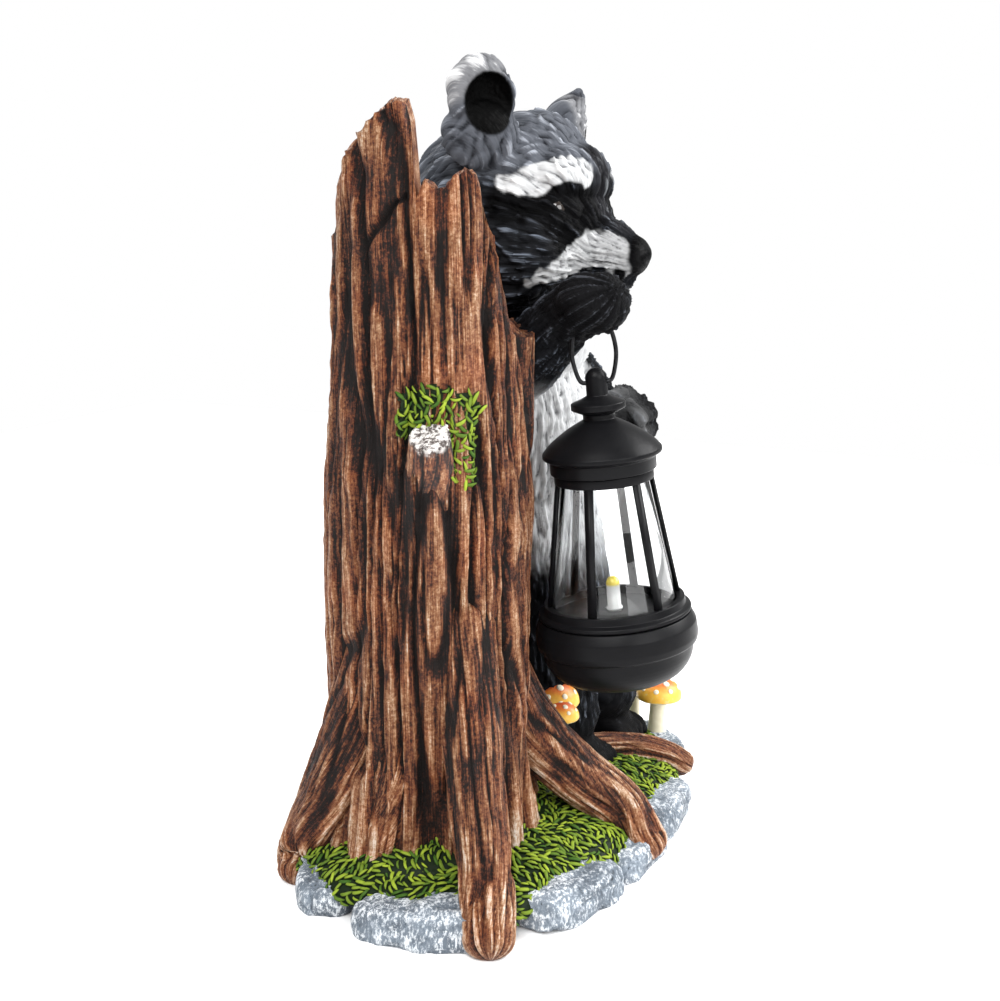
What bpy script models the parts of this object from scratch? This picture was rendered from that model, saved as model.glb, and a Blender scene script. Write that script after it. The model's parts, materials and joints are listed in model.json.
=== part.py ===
"""Solar raccoon garden statue: a cast resin raccoon behind a broken tree stump, holding a small lantern.

Metres, +Z up, the origin on the ground under the middle of the base. The raccoon faces -Y.
The casting is a free form, so its pose and carving are shares of its own height. The lantern has
sizes of its own, and the hand's wire hole and the room that it hangs in are worked out from them.
"""

import math

import bmesh
import bpy
import numpy as np
from mathutils import Matrix, Vector

# Driving sizes
STATUE_HEIGHT = 0.300
LANTERN_HEIGHT = 0.0985
BOWL_RADIUS = 0.0303
BOWL_FLOOR_RADIUS = 0.0150
BOWL_HEIGHT = 0.0252
BOWL_WALL = 0.0018
FRAME_RING_HEIGHT = 0.0052
RING_LIP = 0.0012
SHADE_TOP_RADIUS = 0.0154
SHADE_BOTTOM_RADIUS = 0.0230
SHADE_WALL = 0.0010
BAR_WIDTH = 0.0033
BAR_DEPTH = 0.0016
BARS = 6
FIRST_BAR_TURN = math.radians(7)
TOP_RING_HEIGHT = 0.0034
ROOF_RIM_RADIUS = 0.0218
ROOF_WALL = 0.0018
FINIAL_RADIUS = 0.0039
FLANGE_RADIUS = 0.0099
FINIAL_HEIGHT = 0.0185
WIRE_RADIUS = 0.0008
WIRE_LOOP_WIDTH = 0.0158
WIRE_LOOP_RISE = 0.0245
LED_RADIUS = 0.0025
LED_HEIGHT = 0.0120
LED_FLANGE = 0.0005
SEAT_GAP = 0.0003
WIRE_CLEARANCE = 0.0007
LANTERN_CLEARANCE = 0.0012
LANTERN_TILT = math.radians(5.5)
TURNED_SIDES = 24

# The casting is laid out in units of a 300th of its height
UNIT = STATUE_HEIGHT / 300.0
CASTING_TRIANGLES = 6500
FORM_VOXEL = 1.9 * UNIT
CASTING_VOXEL = 1.25 * UNIT
# Level directions of the trunk's plan: toward the lantern, and back through the stump
SIDE = np.array((0.4226, -0.9063, 0.0))
BACK = np.array((0.9063, 0.4226, 0.0))
TRUNK_CENTRE = np.array((-41.0, 8.0, 0.0))
TRUNK_RADIUS = 35.5
NOSE_TIP = np.array((33.0, -45.5, 224.5))
HAND = np.array((-10.3, -40.3, 209.0))
GRIP_DROP = 2.5
STONES = 13
BASE_REACH = (105.0, 70.0)
STONE_INSET = 11.5
# The rim is drawn in a little beside the root at the back left
HOLLOW_ANGLE = 2.42
HOLLOW_DEPTH = 0.11
HOLLOW_WIDTH = 0.2
CAP_RISE = 0.8
KNOT_MIDDLE = np.array((-78.4, -11.7, 171.2))
KNOT_FACING = np.array((-0.499, -0.220, 0.838))
# Broken edge of the trunk, seen from the front: a tall spike, two shards and steps down to the right
SPIKE_EDGE = -2.6
EDGE_ACROSS = (-36, -31.8, -27.4, -25.0, -19.2, -14.0, -9.5, -5.6, -3.8, -2.9, -2.4, -0.9, 0.8, 3.1, 4.6, 7.1)
EDGE_ACROSS += (10.1, 14.0, 16.8, 18.1, 18.9, 19.5, 20.7, 22.8, 23.4, 24.6, 26.9, 27.6, 29.2, 33.0, 36.0)
EDGE_HEIGHT = (240, 247, 257, 263, 269.5, 275.5, 279, 278, 272, 261, 245, 249.5, 252, 250.5, 249, 249.5)
EDGE_HEIGHT += (253.5, 255.5, 254.5, 249, 242, 236, 235.5, 233.8, 228, 219.5, 212, 205.5, 202, 198.5, 196)
ROOT_RUNS = (
    ((-59, -15, 104, 9), (-66, -20, 68, 9.6), (-74, -26, 42, 9.4), (-84, -34, 19, 9), (-94, -40, 5, 8.2)),
    ((-35, -9, 84, 13), (-28, -21, 57, 12.2), (-17, -38, 35, 10.4), (-9, -54, 21, 9.2), (-7, -64, 6, 8.6)),
    ((-55, 17, 100, 13), (-62, 26, 62, 13), (-68, 37, 30, 11.5), (-71, 46, 10, 10), (-76, 46, 3, 8)),
    ((-60, 6, 84, 9), (-68, 8, 46, 9), (-74, 10, 24, 7), (-77, 11, 16, 5)),
    ((-40, 22, 90, 12), (-39, 36, 55, 12), (-36, 48, 28, 11), (-34, 59, 9, 9)),
    ((2, -14, 20, 6), (28, -20, 21, 6.5), (44, -36, 21, 5.8), (54, -50, 17, 5.2), (60, -58, 11, 4.8)),
)
# (x, y, foot, height, cap radius, lean) of each mushroom
MUSHROOMS = (
    (82.7, -38.3, 17, 15.5, 10.0, 2.0),
    (93, -24, 17, 13, 6.0, 3.0),
    (13.7, -18.4, 17, 38.5, 10.5, -3.0),
    (5.7, -24.4, 26, 24.5, 7.5, -2.0),
)


def clear_scene():
    for thing in list(bpy.data.objects):
        bpy.data.objects.remove(thing, do_unlink=True)


def new_collection(name, hidden=False):
    group = bpy.data.collections.new(name)
    bpy.context.scene.collection.children.link(group)
    group.hide_render = hidden
    return group


def finish_material(name, colour, roughness, alpha=1.0):
    made = bpy.data.materials.new(name)
    made.use_nodes = True
    shader = made.node_tree.nodes["Principled BSDF"]
    shader.inputs["Base Color"].default_value = (*colour, 1.0)
    shader.inputs["Roughness"].default_value = roughness
    shader.inputs["Transmission Weight"].default_value = 1.0 - alpha
    made.diffuse_color = (*colour, alpha)
    return made


def lattice_value(cell, seed):
    mixed = (cell[:, 0] * 73856093) ^ (cell[:, 1] * 19349663) ^ (cell[:, 2] * 83492791) ^ (seed * 2654435761)
    mixed = (mixed ^ (mixed >> 13)) * 1274126177 & 0xFFFFFFFF
    return ((mixed ^ (mixed >> 16)) & 0xFFFF) / 65535.0


def soft_noise(spots, seed):
    """A smooth value from 0 to 1 at each spot, with one lump to each unit."""
    low = np.floor(spots).astype(np.int64)
    part = spots - low
    part = part * part * (3.0 - 2.0 * part)
    total = np.zeros(len(spots))
    for corner in range(8):
        step = np.array((corner & 1, corner >> 1 & 1, corner >> 2 & 1))
        weight = np.prod(np.where(step == 1, part, 1.0 - part), axis=1)
        total += weight * lattice_value(low + step, seed)
    return total


def ridges(spots, seed):
    """0 at the bottom of a groove and 1 on the ridge beside it."""
    return np.minimum(1.0, np.abs(soft_noise(spots, seed) * 2.0 - 1.0) * 2.6)


def mesh_object(name, mesh, group):
    made = bpy.data.objects.new(name, mesh)
    group.objects.link(made)
    return made


def loft(rings):
    """A closed body through rings of points, in casting units, with a fan over each end."""
    rings = np.asarray(rings)
    sides = rings.shape[1]
    body = bmesh.new()
    spots = [[body.verts.new(spot * UNIT) for spot in ring] for ring in rings]
    for lower, upper in zip(spots[:-1], spots[1:]):
        for side in range(sides):
            turn = (side + 1) % sides
            body.faces.new((lower[side], lower[turn], upper[turn], upper[side]))
    for ring, points, flip in ((spots[0], rings[0], True), (spots[-1], rings[-1], False)):
        middle = body.verts.new(points.mean(axis=0) * UNIT)
        for side in range(sides):
            ends = (ring[side], ring[(side + 1) % sides], middle)
            body.faces.new(ends[::-1] if flip else ends)
    bmesh.ops.recalc_face_normals(body, faces=body.faces)
    return body


def curve_points(stops, count):
    """Points on a smooth curve through the stops, whose rows may hold a radius as well."""
    stops = np.asarray(stops, float)
    padded = np.vstack((2 * stops[0] - stops[1], stops, 2 * stops[-1] - stops[-2]))
    made = []
    for place in np.linspace(0.0, len(stops) - 1.000001, count):
        index = int(place)
        share = place - index
        before, start, end, after = padded[index : index + 4]
        made.append(
            0.5
            * (
                2 * start
                + (end - before) * share
                + (2 * before - 5 * start + 4 * end - after) * share**2
                + (3 * start - before - 3 * end + after) * share**3
            )
        )
    return np.array(made)


def limb(stops, steps=24, sides=20, relief=None):
    """A round tapered limb through (x, y, z, radius) stops, with domed ends."""
    line = curve_points(stops, steps)
    spots, radii = line[:, :3], np.maximum(line[:, 3], 0.4)
    ahead = np.gradient(spots, axis=0)
    ahead /= np.linalg.norm(ahead, axis=1)[:, None]
    across = np.cross(ahead, (0.03, 0.02, 1.0))
    across /= np.linalg.norm(across, axis=1)[:, None]
    up = np.cross(ahead, across)
    angles = np.linspace(0.0, 2 * math.pi, sides, endpoint=False)
    run = np.concatenate(([0.0], np.cumsum(np.linalg.norm(np.diff(spots, axis=0), axis=1))))
    domes = np.radians((75.0, 50.0, 25.0))
    rows = []
    for dome in domes:
        rows.append((spots[0] - ahead[0] * radii[0] * math.sin(dome) * 0.8, 0, math.cos(dome)))
    for index in range(steps):
        rows.append((spots[index], index, 1.0))
    for dome in domes[::-1]:
        rows.append((spots[-1] + ahead[-1] * radii[-1] * math.sin(dome) * 0.8, steps - 1, math.cos(dome)))
    made = []
    for spot, index, share in rows:
        reach = np.full(sides, radii[index])
        if relief is not None:
            reach = reach + relief(angles, run[index], radii[index])
        level = np.outer(np.cos(angles) * reach * share, across[index])
        made.append(spot + level + np.outer(np.sin(angles) * reach * share, up[index]))
    return loft(made)


def lump(centre, radii, turn=(0.0, 0.0, 0.0), boxy=1.0):
    """An egg shape in casting units. boxy under 1 squares it off, as on a stone."""
    body = bmesh.new()
    bmesh.ops.create_icosphere(body, subdivisions=4, radius=1.0)
    for vert in body.verts:
        for axis in range(3):
            vert.co[axis] = math.copysign(abs(vert.co[axis]) ** boxy, vert.co[axis]) * radii[axis]
    spin = Matrix.Rotation(turn[2], 4, "Z") @ Matrix.Rotation(turn[1], 4, "Y")
    spin = spin @ Matrix.Rotation(turn[0], 4, "X")
    place = Matrix.Scale(UNIT, 4) @ Matrix.Translation(Vector(centre)) @ spin
    bmesh.ops.transform(body, matrix=place, verts=body.verts)
    return body


def joined(bodies, name, group):
    """One mesh object of many bodies, which a voxel remesh then makes one."""
    whole = bmesh.new()
    for body in bodies:
        part_mesh = bpy.data.meshes.new("piece")
        body.to_mesh(part_mesh)
        body.free()
        whole.from_mesh(part_mesh)
        bpy.data.meshes.remove(part_mesh)
    mesh = bpy.data.meshes.new(name)
    whole.to_mesh(mesh)
    whole.free()
    return mesh_object(name, mesh, group)


def apply_modifiers(made):
    graph = bpy.context.evaluated_depsgraph_get()
    mesh = bpy.data.meshes.new_from_object(made.evaluated_get(graph))
    made.modifiers.clear()
    made.data = mesh


def remesh(made, voxel):
    tool = made.modifiers.new("One skin", "REMESH")
    tool.mode = "VOXEL"
    tool.voxel_size = voxel
    apply_modifiers(made)


def smooth(made, rounds):
    tool = made.modifiers.new("Soften", "SMOOTH")
    tool.factor = 0.5
    tool.iterations = rounds
    apply_modifiers(made)


def step_up(values, low, high):
    share = np.clip((values - low) / (high - low), 0.0, 1.0)
    return share * share * (3.0 - 2.0 * share)


def trunk_top(side, back):
    """Height of the broken top over the plan."""
    edge = np.interp(side, EDGE_ACROSS, EDGE_HEIGHT)
    spike = edge - 0.9 * np.maximum(0.0, back + 6.0) - 0.10 * np.maximum(0.0, -back - 8.0)
    shards = edge - 1.4 * np.maximum(0.0, back + 16.0)
    rest = 227.0 - 0.75 * np.maximum(0.0, side + 4.0)
    top = np.maximum(np.where(side < SPIKE_EDGE, spike, shards), rest)
    jag = soft_noise(np.stack((side / 2.6, back / 2.6, side * 0.0), axis=1), 11)
    return top + 2.2 * (jag - 0.5)


def bark(angles, height):
    """Depth of the long bark ridges around a trunk, in casting units."""
    around = np.mod(angles, 2 * math.pi) * TRUNK_RADIUS
    drift = 8.0 * soft_noise(np.stack((around / 20.0, height / 50.0, around * 0.0), axis=1), 3)
    spots = np.stack(((around + drift) / 7.0, height / 105.0, around * 0.0), axis=1)
    across = around - math.radians(205.0) * TRUNK_RADIUS
    rib = 6.5 * np.exp(-(((across - 0.8) / 6.5) ** 2)) * step_up(height, 70.0, 150.0)
    rib *= 1.0 - step_up(height, 157.0, 163.0)
    return rib + 3.8 * (step_up(ridges(spots, 5), 0.08, 0.70) - 0.75)


def trunk(rows=90, sides=150):
    angles = np.linspace(0.0, 2 * math.pi, sides, endpoint=False)
    heading = np.outer(np.cos(angles), (1.0, 0.0, 0.0)) + np.outer(np.sin(angles), (0.0, 1.0, 0.0))
    top = trunk_top(heading @ SIDE * (TRUNK_RADIUS - 2.0), heading @ BACK * (TRUNK_RADIUS - 2.0))
    rings = []
    for share in np.linspace(0.0, 1.0, rows):
        height = 2.0 + (top - 2.0) * share
        flare = 9.0 * np.clip(1.0 - height / 62.0, 0.0, 1.0) ** 2.2
        taper = 3.2 * np.clip((height - 150.0) / 110.0, 0.0, 1.0)
        lean = 1.3 * np.sin(angles * 3.0 + height / 55.0) + 0.9 * np.sin(angles * 5.0 - height / 35.0)
        radius = TRUNK_RADIUS + flare - taper + lean + bark(angles, height)
        rings.append(TRUNK_CENTRE + heading * radius[:, None] + np.outer(height, (0.0, 0.0, 1.0)))
    for share in (0.93, 0.84, 0.72, 0.60, 0.48, 0.36, 0.24, 0.12, 0.04):
        plan = heading * (TRUNK_RADIUS - 2.0) * share
        height = trunk_top(plan @ SIDE, plan @ BACK)
        rings.append(TRUNK_CENTRE + plan + np.outer(height, (0.0, 0.0, 1.0)))
    return loft(rings)


def root_bark(angles, along, radius):
    wave = np.cos(angles) * max(radius, 7.0)
    lift = np.sin(angles) * max(radius, 7.0)
    broad = ridges(np.stack((wave / 4.6, lift / 4.6, angles * 0.0 + along / 60.0), axis=1), 8)
    return 0.13 * radius * (step_up(broad, 0.0, 0.6) - 0.7)


def roots():
    """The roots run down the trunk, spread over the moss and end among the rim stones."""
    return [limb(run, steps=34, sides=26, relief=root_bark) for run in ROOT_RUNS]


def knot():
    """A stub on the trunk's front, cut off on a slant."""
    line = ((-66, -6, 146, 9), (-71, -8, 156, 8.4), (-75, -10, 164, 7.2), (-78.2, -11.5, 170.5, 6.4))
    body = limb((*line, (-80, -12.4, 175, 6.4)), steps=14, sides=20)
    for vert in body.verts:
        over = (np.array(vert.co) / UNIT - KNOT_MIDDLE) @ KNOT_FACING
        vert.co -= Vector(KNOT_FACING * max(0.0, over) * UNIT)
    return [body]


def ear(centre, facing, tilt):
    """A rounded cup with a thick rim, open toward facing."""
    shell = lump((0, 0, 0), (12.8, 7.5, 16.0))
    hollow = lump((2.0, -6.2, -2.8), (9.6, 7.4, 10.6))
    turn = Matrix.Rotation(facing, 4, "Z") @ Matrix.Rotation(tilt, 4, "Y")
    place = Matrix.Translation(Vector(centre) * UNIT) @ turn
    for body in (shell, hollow):
        bmesh.ops.transform(body, matrix=place, verts=body.verts)
    outer = joined([shell], "ear", GUIDES)
    cutter = joined([hollow], "ear_hollow", GUIDES)
    tool = outer.modifiers.new("Cup", "BOOLEAN")
    tool.operation = "DIFFERENCE"
    tool.object = cutter
    apply_modifiers(outer)
    body = bmesh.new()
    body.from_mesh(outer.data)
    bpy.data.objects.remove(outer)
    bpy.data.objects.remove(cutter)
    return body


def raccoon_head():
    snout = ((34, -8, 230, 20), (34, -24, 228, 14), (33.5, -35, 225.5, 10), (33, -40.5, 224.5, 7.8))
    jaw = ((34, -12, 216, 13.5), (34, -26, 216.5, 9.5), (33, -36, 218, 6.6))
    ear_tip = ((67, 5.5, 267, 11.5), (70.2, 3.2, 278, 9), (73.5, 0.3, 285, 4.5), (75, -0.7, 288, 2))
    return [
        lump((36, 14, 243), (36, 39, 35)),
        lump((34, -7, 233), (31, 23, 24)),
        lump((36, -13, 253), (26, 15, 14)),
        lump((38, 4, 258), (27, 23, 21)),
        lump((10, 2, 224), (19, 25, 20), turn=(0, 0.35, 0)),
        lump((60, 2, 224), (19, 25, 20), turn=(0, -0.35, 0)),
        limb(snout, sides=24),
        limb(jaw),
        lump(NOSE_TIP + (0, 3.0, 0.8), (6.0, 5.0, 5.0)),
        lump((17.3, -12.2, 242), (6.6, 6.6, 6.2)),
        lump((52.7, -12.2, 242), (6.6, 6.6, 6.2)),
        lump((5, 10.5, 269), (15, 8.5, 13), turn=(0, 0, math.radians(-48))),
        ear((3, 9, 282.5), math.radians(-48), math.radians(-4)),
        ear((67.5, 4, 269), math.radians(55), math.radians(-20)),
        limb(ear_tip, sides=16),
    ]


def raccoon_body():
    spine = ((37, 20, 60, 30), (37, 20, 110, 28), (37, 19, 155, 25), (37, 18, 200, 27), (36, 18, 225, 26))
    right_arm = ((16, 10, 180, 18), (5, -2, 184, 16), (-2, -14, 190, 13.5))
    right_arm += ((-6, -28, 203, 11), (-9, -38, 209, 11))
    shapes = [
        lump((38, 9, 86), (38, 37, 62)),
        lump((38, 7, 150), (32, 29, 42)),
        lump((38, 9, 197), (31, 30, 30)),
        lump((20, 3, 48), (23, 31, 36)),
        lump((60, 3, 48), (23, 31, 36)),
        lump((25, -12, 42), (14, 20, 21)),
        lump((60, -14, 42), (15, 22, 22)),
        lump((38, 26, 60), (36, 30, 44)),
        limb(spine),
        lump((25, -13, 24), (13.5, 21, 12)),
        lump((61, -13, 24), (13.5, 21, 12)),
        limb(right_arm),
        limb(((60, 8, 180, 17), (71, -3, 165, 14.5), (72, -12, 155, 12.5), (65, -22, 157, 11.5))),
        lump((62, -26.5, 158), (11, 10, 13)),
        lump(HAND + (1.5, -3.2, 1.0), (10.6, 10.6, 10.8)),
        lump(HAND + (-1.5, 1.5, 2.0), (11.0, 11.0, 9.5)),
        limb(((58, 34, 40, 14), (78, 40, 26, 15), (92, 34, 24, 13.5), (97, 20, 24, 10), (97, 8, 23, 5))),
    ]
    for foot in (25.0, 61.0):
        for toe in range(5):
            spread = (toe - 2) * 5.0
            line = ((foot + spread * 0.8, -24, 25, 4.2), (foot + spread * 0.95, -33, 22, 3.4))
            shapes.append(limb((*line, (foot + spread, -37, 18, 1.6)), steps=8, sides=12))
    for finger in range(4):
        side = 55.0 + finger * 4.6
        line = ((side, -31.5, 164, 3.4), (side, -37.5, 158, 3.2), (side, -37.5, 150, 2.2))
        shapes.append(limb(line, steps=8, sides=12))
    return shapes


def fur(spots):
    """Height of the fur locks at each spot. They run back from the nose and down the body."""
    back = spots - NOSE_TIP
    reach = np.linalg.norm(back, axis=1)
    around = np.arctan2(back[:, 0], back[:, 2] + 6.0)
    head = np.stack((around * 4.0, reach / 24.0, spots[:, 0] * 0.0), axis=1)
    sway = 4.0 * soft_noise(spots / 21.0, 23)
    body = np.stack(((spots[:, 0] + sway) / 7.0, (spots[:, 1] + sway) / 7.0, spots[:, 2] / 24.0), axis=1)
    share = np.clip((spots[:, 2] - 196.0) / 14.0, 0.0, 1.0)
    depth = share * (ridges(head, 21) - 0.7) + (1.0 - share) * (ridges(body, 22) - 0.7)
    bare = np.exp(-(np.linalg.norm(spots - NOSE_TIP, axis=1) / 22.0) ** 2)
    hands = np.exp(-(np.linalg.norm(spots - HAND, axis=1) / 15.0) ** 4)
    low = np.clip((40.0 - spots[:, 2]) / 10.0, 0.0, 1.0) * np.clip((-14.0 - spots[:, 1]) / 6.0, 0.0, 1.0)
    return depth * np.clip(1.0 - bare - hands - low, 0.0, 1.0)


def move_along_normals(made, height):
    mesh = made.data
    count = len(mesh.vertices)
    spots = np.empty(count * 3, np.float32)
    normals = np.empty(count * 3, np.float32)
    mesh.vertices.foreach_get("co", spots)
    mesh.vertices.foreach_get("normal", normals)
    spots = spots.reshape(-1, 3).astype(float)
    moved = spots + normals.reshape(-1, 3) * (height(spots / UNIT) * UNIT)[:, None]
    mesh.vertices.foreach_set("co", moved.astype(np.float32).ravel())
    mesh.update()


def raccoon():
    made = joined(raccoon_head() + raccoon_body(), "raccoon_form", GUIDES)
    remesh(made, FORM_VOXEL)
    smooth(made, 4)
    move_along_normals(made, lambda spots: 1.8 * fur(spots))
    return made


def rim_point(angle):
    """Middle of the ring of stones at an angle. The base is an oval with slightly flattened sides."""
    power = 2.5
    bend = (abs(math.cos(angle)) ** power + abs(math.sin(angle)) ** power) ** (-1.0 / power)
    bend *= 1.0 - HOLLOW_DEPTH * math.exp(-(((angle % (2 * math.pi) - HOLLOW_ANGLE) / HOLLOW_WIDTH) ** 2))
    length, width = BASE_REACH
    across = (length - STONE_INSET) * bend * math.cos(angle)
    return np.array((across, (width - STONE_INSET) * bend * math.sin(angle), 0.0))


def base():
    """Rim stones of unlike lengths around a mound of moss."""
    made = [lump((0, 0, 4), (97, 62, 18), boxy=0.72), lump((-30, 4, 12), (58, 44, 16))]
    for index in range(STONES):
        start = (index + 0.22 * math.sin(index * 2.4)) * 2 * math.pi / STONES
        angle = start + math.pi / STONES
        here = rim_point(angle)
        ahead = rim_point(angle + 0.05) - here
        turn = (0, 0.10 * math.sin(index * 2.7), math.atan2(ahead[1], ahead[0]))
        reach = np.linalg.norm(rim_point(start) - rim_point(start + 2 * math.pi / STONES))
        tall = 13.0 + 1.4 * math.sin(index * 1.9)
        made.append(lump(here + (0, 0, tall * 0.40), (reach * 0.53, 11.5, tall * 0.60), turn, boxy=0.58))
    return made


def mushrooms():
    """The mushrooms at the raccoon's feet."""
    made = []
    for x, y, foot, height, cap, lean in MUSHROOMS:
        stem = ((x, y, foot - 4, cap * 0.42), (x + lean * 0.4, y, foot + height * 0.5, cap * 0.36))
        made.append(limb((*stem, (x + lean, y, foot + height * 0.8, cap * 0.4)), steps=8, sides=14))
        made.append(lump((x + lean, y, foot + height * 0.86), (cap, cap, cap * CAP_RISE)))
    return made


def flat_underside(made):
    """Cuts the casting off level at the ground, with one flat face there."""
    body = bmesh.new()
    body.from_mesh(made.data)
    everything = body.verts[:] + body.edges[:] + body.faces[:]
    bmesh.ops.bisect_plane(
        body, geom=everything, dist=1e-6, plane_co=(0, 0, 0), plane_no=(0, 0, -1), clear_outer=True
    )
    rim = [edge for edge in body.edges if edge.is_boundary]
    bmesh.ops.contextual_create(body, geom=rim)
    bmesh.ops.triangulate(body, faces=[face for face in body.faces if len(face.verts) > 4])
    bmesh.ops.recalc_face_normals(body, faces=body.faces)
    body.to_mesh(made.data)
    body.free()


def difference(made, cutter, name):
    tool = made.modifiers.new(name, "BOOLEAN")
    tool.operation = "DIFFERENCE"
    tool.solver = "EXACT"
    tool.object = cutter
    cutter.hide_render = True
    cutter.display_type = "WIRE"


def turned(name, profile, group, sides=TURNED_SIDES):
    """A solid turned from (radius, height) points, which run down the outer side from the top."""
    mesh = bpy.data.meshes.new(name)
    spots = [(radius, 0.0, height) for radius, height in profile]
    mesh.from_pydata(spots, [(step, step + 1) for step in range(len(spots) - 1)], [])
    made = mesh_object(name, mesh, group)
    tool = made.modifiers.new("Turn", "SCREW")
    tool.steps = sides
    tool.render_steps = sides
    tool.use_merge_vertices = True
    tool.merge_threshold = 0.00002
    apply_modifiers(made)
    body = bmesh.new()
    body.from_mesh(made.data)
    bmesh.ops.remove_doubles(body, verts=body.verts, dist=0.00001)
    bmesh.ops.recalc_face_normals(body, faces=body.faces)
    body.to_mesh(made.data)
    body.free()
    made.data.shade_smooth()
    made.data.set_sharp_from_angle(angle=math.radians(35))
    return made


# Heights up the lantern's own axis, from the underside of its bowl
CAGE_FLOOR = BOWL_HEIGHT + SEAT_GAP
CAGE_DECK = CAGE_FLOOR + FRAME_RING_HEIGHT * 0.45
RING_TOP = CAGE_FLOOR + FRAME_RING_HEIGHT
CAGE_TOP = LANTERN_HEIGHT * 0.805
SHADE_FOOT = CAGE_DECK + SEAT_GAP
SHADE_HEAD = CAGE_TOP - SEAT_GAP
ROOF_SEAT = CAGE_TOP + SEAT_GAP
ROOF_TOP = LANTERN_HEIGHT
FINIAL_TOP = ROOF_TOP + FINIAL_HEIGHT
WIRE_HOLE = FINIAL_TOP - 1.3 * FINIAL_RADIUS
WIRE_TOP = WIRE_HOLE + WIRE_LOOP_RISE
BOWL_MOUTH_RADIUS = BOWL_RADIUS * 0.93
BOWL_WIDEST = BOWL_HEIGHT * 0.66
RING_RADIUS = SHADE_BOTTOM_RADIUS + SEAT_GAP + BAR_DEPTH + RING_LIP
TOP_RING_RADIUS = SHADE_TOP_RADIUS + 2 * SEAT_GAP + BAR_DEPTH + 0.5 * RING_LIP
BAND_RADIUS = TOP_RING_RADIUS + RING_LIP


def shade_radius(height):
    """Outer radius of the clear shade at a height up the lantern."""
    share = (height - SHADE_FOOT) / (SHADE_HEAD - SHADE_FOOT)
    return SHADE_BOTTOM_RADIUS + (SHADE_TOP_RADIUS - SHADE_BOTTOM_RADIUS) * share


def bowl_outline():
    """The bowl's outer side, from its mouth down to the middle of its floor."""
    outer = [(BOWL_MOUTH_RADIUS, BOWL_HEIGHT), (BOWL_RADIUS * 0.985, BOWL_HEIGHT * 0.86)]
    outer += [(BOWL_RADIUS, BOWL_WIDEST)]
    outer += [(BOWL_RADIUS * 0.985, BOWL_HEIGHT * 0.575), (BOWL_RADIUS * 0.945, BOWL_HEIGHT * 0.54)]
    for share in (0.25, 0.5, 0.75, 0.92):
        bend = math.cos(share * math.pi / 2)
        radius = BOWL_FLOOR_RADIUS + (BOWL_RADIUS * 0.935 - BOWL_FLOOR_RADIUS) * bend
        outer.append((radius, BOWL_HEIGHT * 0.52 * (1 - math.sin(share * math.pi / 2))))
    return outer + [(BOWL_FLOOR_RADIUS, 0.0), (0.0, 0.0)]


def lantern_bowl(group):
    outer = bowl_outline()
    inner = [(0.0, BOWL_WALL), (BOWL_FLOOR_RADIUS, BOWL_WALL)]
    inner += [(BOWL_RADIUS * 0.80, BOWL_HEIGHT * 0.26), (BOWL_RADIUS * 0.945 - BOWL_WALL, BOWL_WIDEST)]
    inner += [(BOWL_MOUTH_RADIUS - BOWL_WALL, BOWL_HEIGHT)]
    profile = outer + inner + [outer[0]]
    return turned("lantern_bowl", profile, group)


def lantern_cage(group):
    """Deck with the lamp hole, base ring, six bars and top ring, joined as one moulding."""
    hole = LED_RADIUS + SEAT_GAP
    inside = SHADE_BOTTOM_RADIUS + SEAT_GAP
    middle = CAGE_FLOOR + 0.4 * FRAME_RING_HEIGHT
    deck = [(RING_RADIUS, RING_TOP), (RING_RADIUS + 0.25 * RING_LIP, middle), (BOWL_MOUTH_RADIUS, middle)]
    deck += [(BOWL_MOUTH_RADIUS, CAGE_FLOOR), (hole, CAGE_FLOOR), (hole, CAGE_DECK)]
    deck += [(inside, CAGE_DECK), (inside, RING_TOP), deck[0]]
    cage = turned("lantern_cage", deck, group)
    low = CAGE_TOP - TOP_RING_HEIGHT
    ring = [(TOP_RING_RADIUS, CAGE_TOP), (TOP_RING_RADIUS, low)]
    ring += [(shade_radius(height) + SEAT_GAP, height) for height in (low, CAGE_TOP)]
    others = [turned("top_ring", ring + [ring[0]], GUIDES)]
    foot, head = CAGE_FLOOR + FRAME_RING_HEIGHT * 0.6, CAGE_TOP - TOP_RING_HEIGHT * 0.5
    for bar in range(BARS):
        angle = 2 * math.pi * bar / BARS + FIRST_BAR_TURN
        body = bmesh.new()
        bmesh.ops.create_cube(body, size=1.0)
        for vert in body.verts:
            height = foot + (head - foot) * (vert.co.z + 0.5)
            reach = shade_radius(height) + 2 * SEAT_GAP + (vert.co.x + 0.5) * BAR_DEPTH
            vert.co = Vector((reach, vert.co.y * BAR_WIDTH, height))
        bmesh.ops.rotate(body, verts=body.verts, matrix=Matrix.Rotation(angle, 3, "Z"))
        others.append(joined([body], "bar", GUIDES))
    for other in others:
        tool = cage.modifiers.new("Join", "BOOLEAN")
        tool.operation = "UNION"
        tool.object = other
        apply_modifiers(cage)
        bpy.data.objects.remove(other)
    return cage


def lantern_shade(group):
    outer = [(SHADE_TOP_RADIUS, SHADE_HEAD), (SHADE_BOTTOM_RADIUS, SHADE_FOOT)]
    inner = [(SHADE_BOTTOM_RADIUS - SHADE_WALL, SHADE_FOOT), (SHADE_TOP_RADIUS - SHADE_WALL, SHADE_HEAD)]
    return turned("lantern_shade", outer + inner + [outer[0]], group)


def dome(radius, top, shares):
    """(radius, height) points down a round top, from its middle."""
    turns = [share * math.pi / 2 for share in shares]
    return [(radius * math.sin(turn), top - radius * (1 - math.cos(turn))) for turn in turns]


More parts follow.
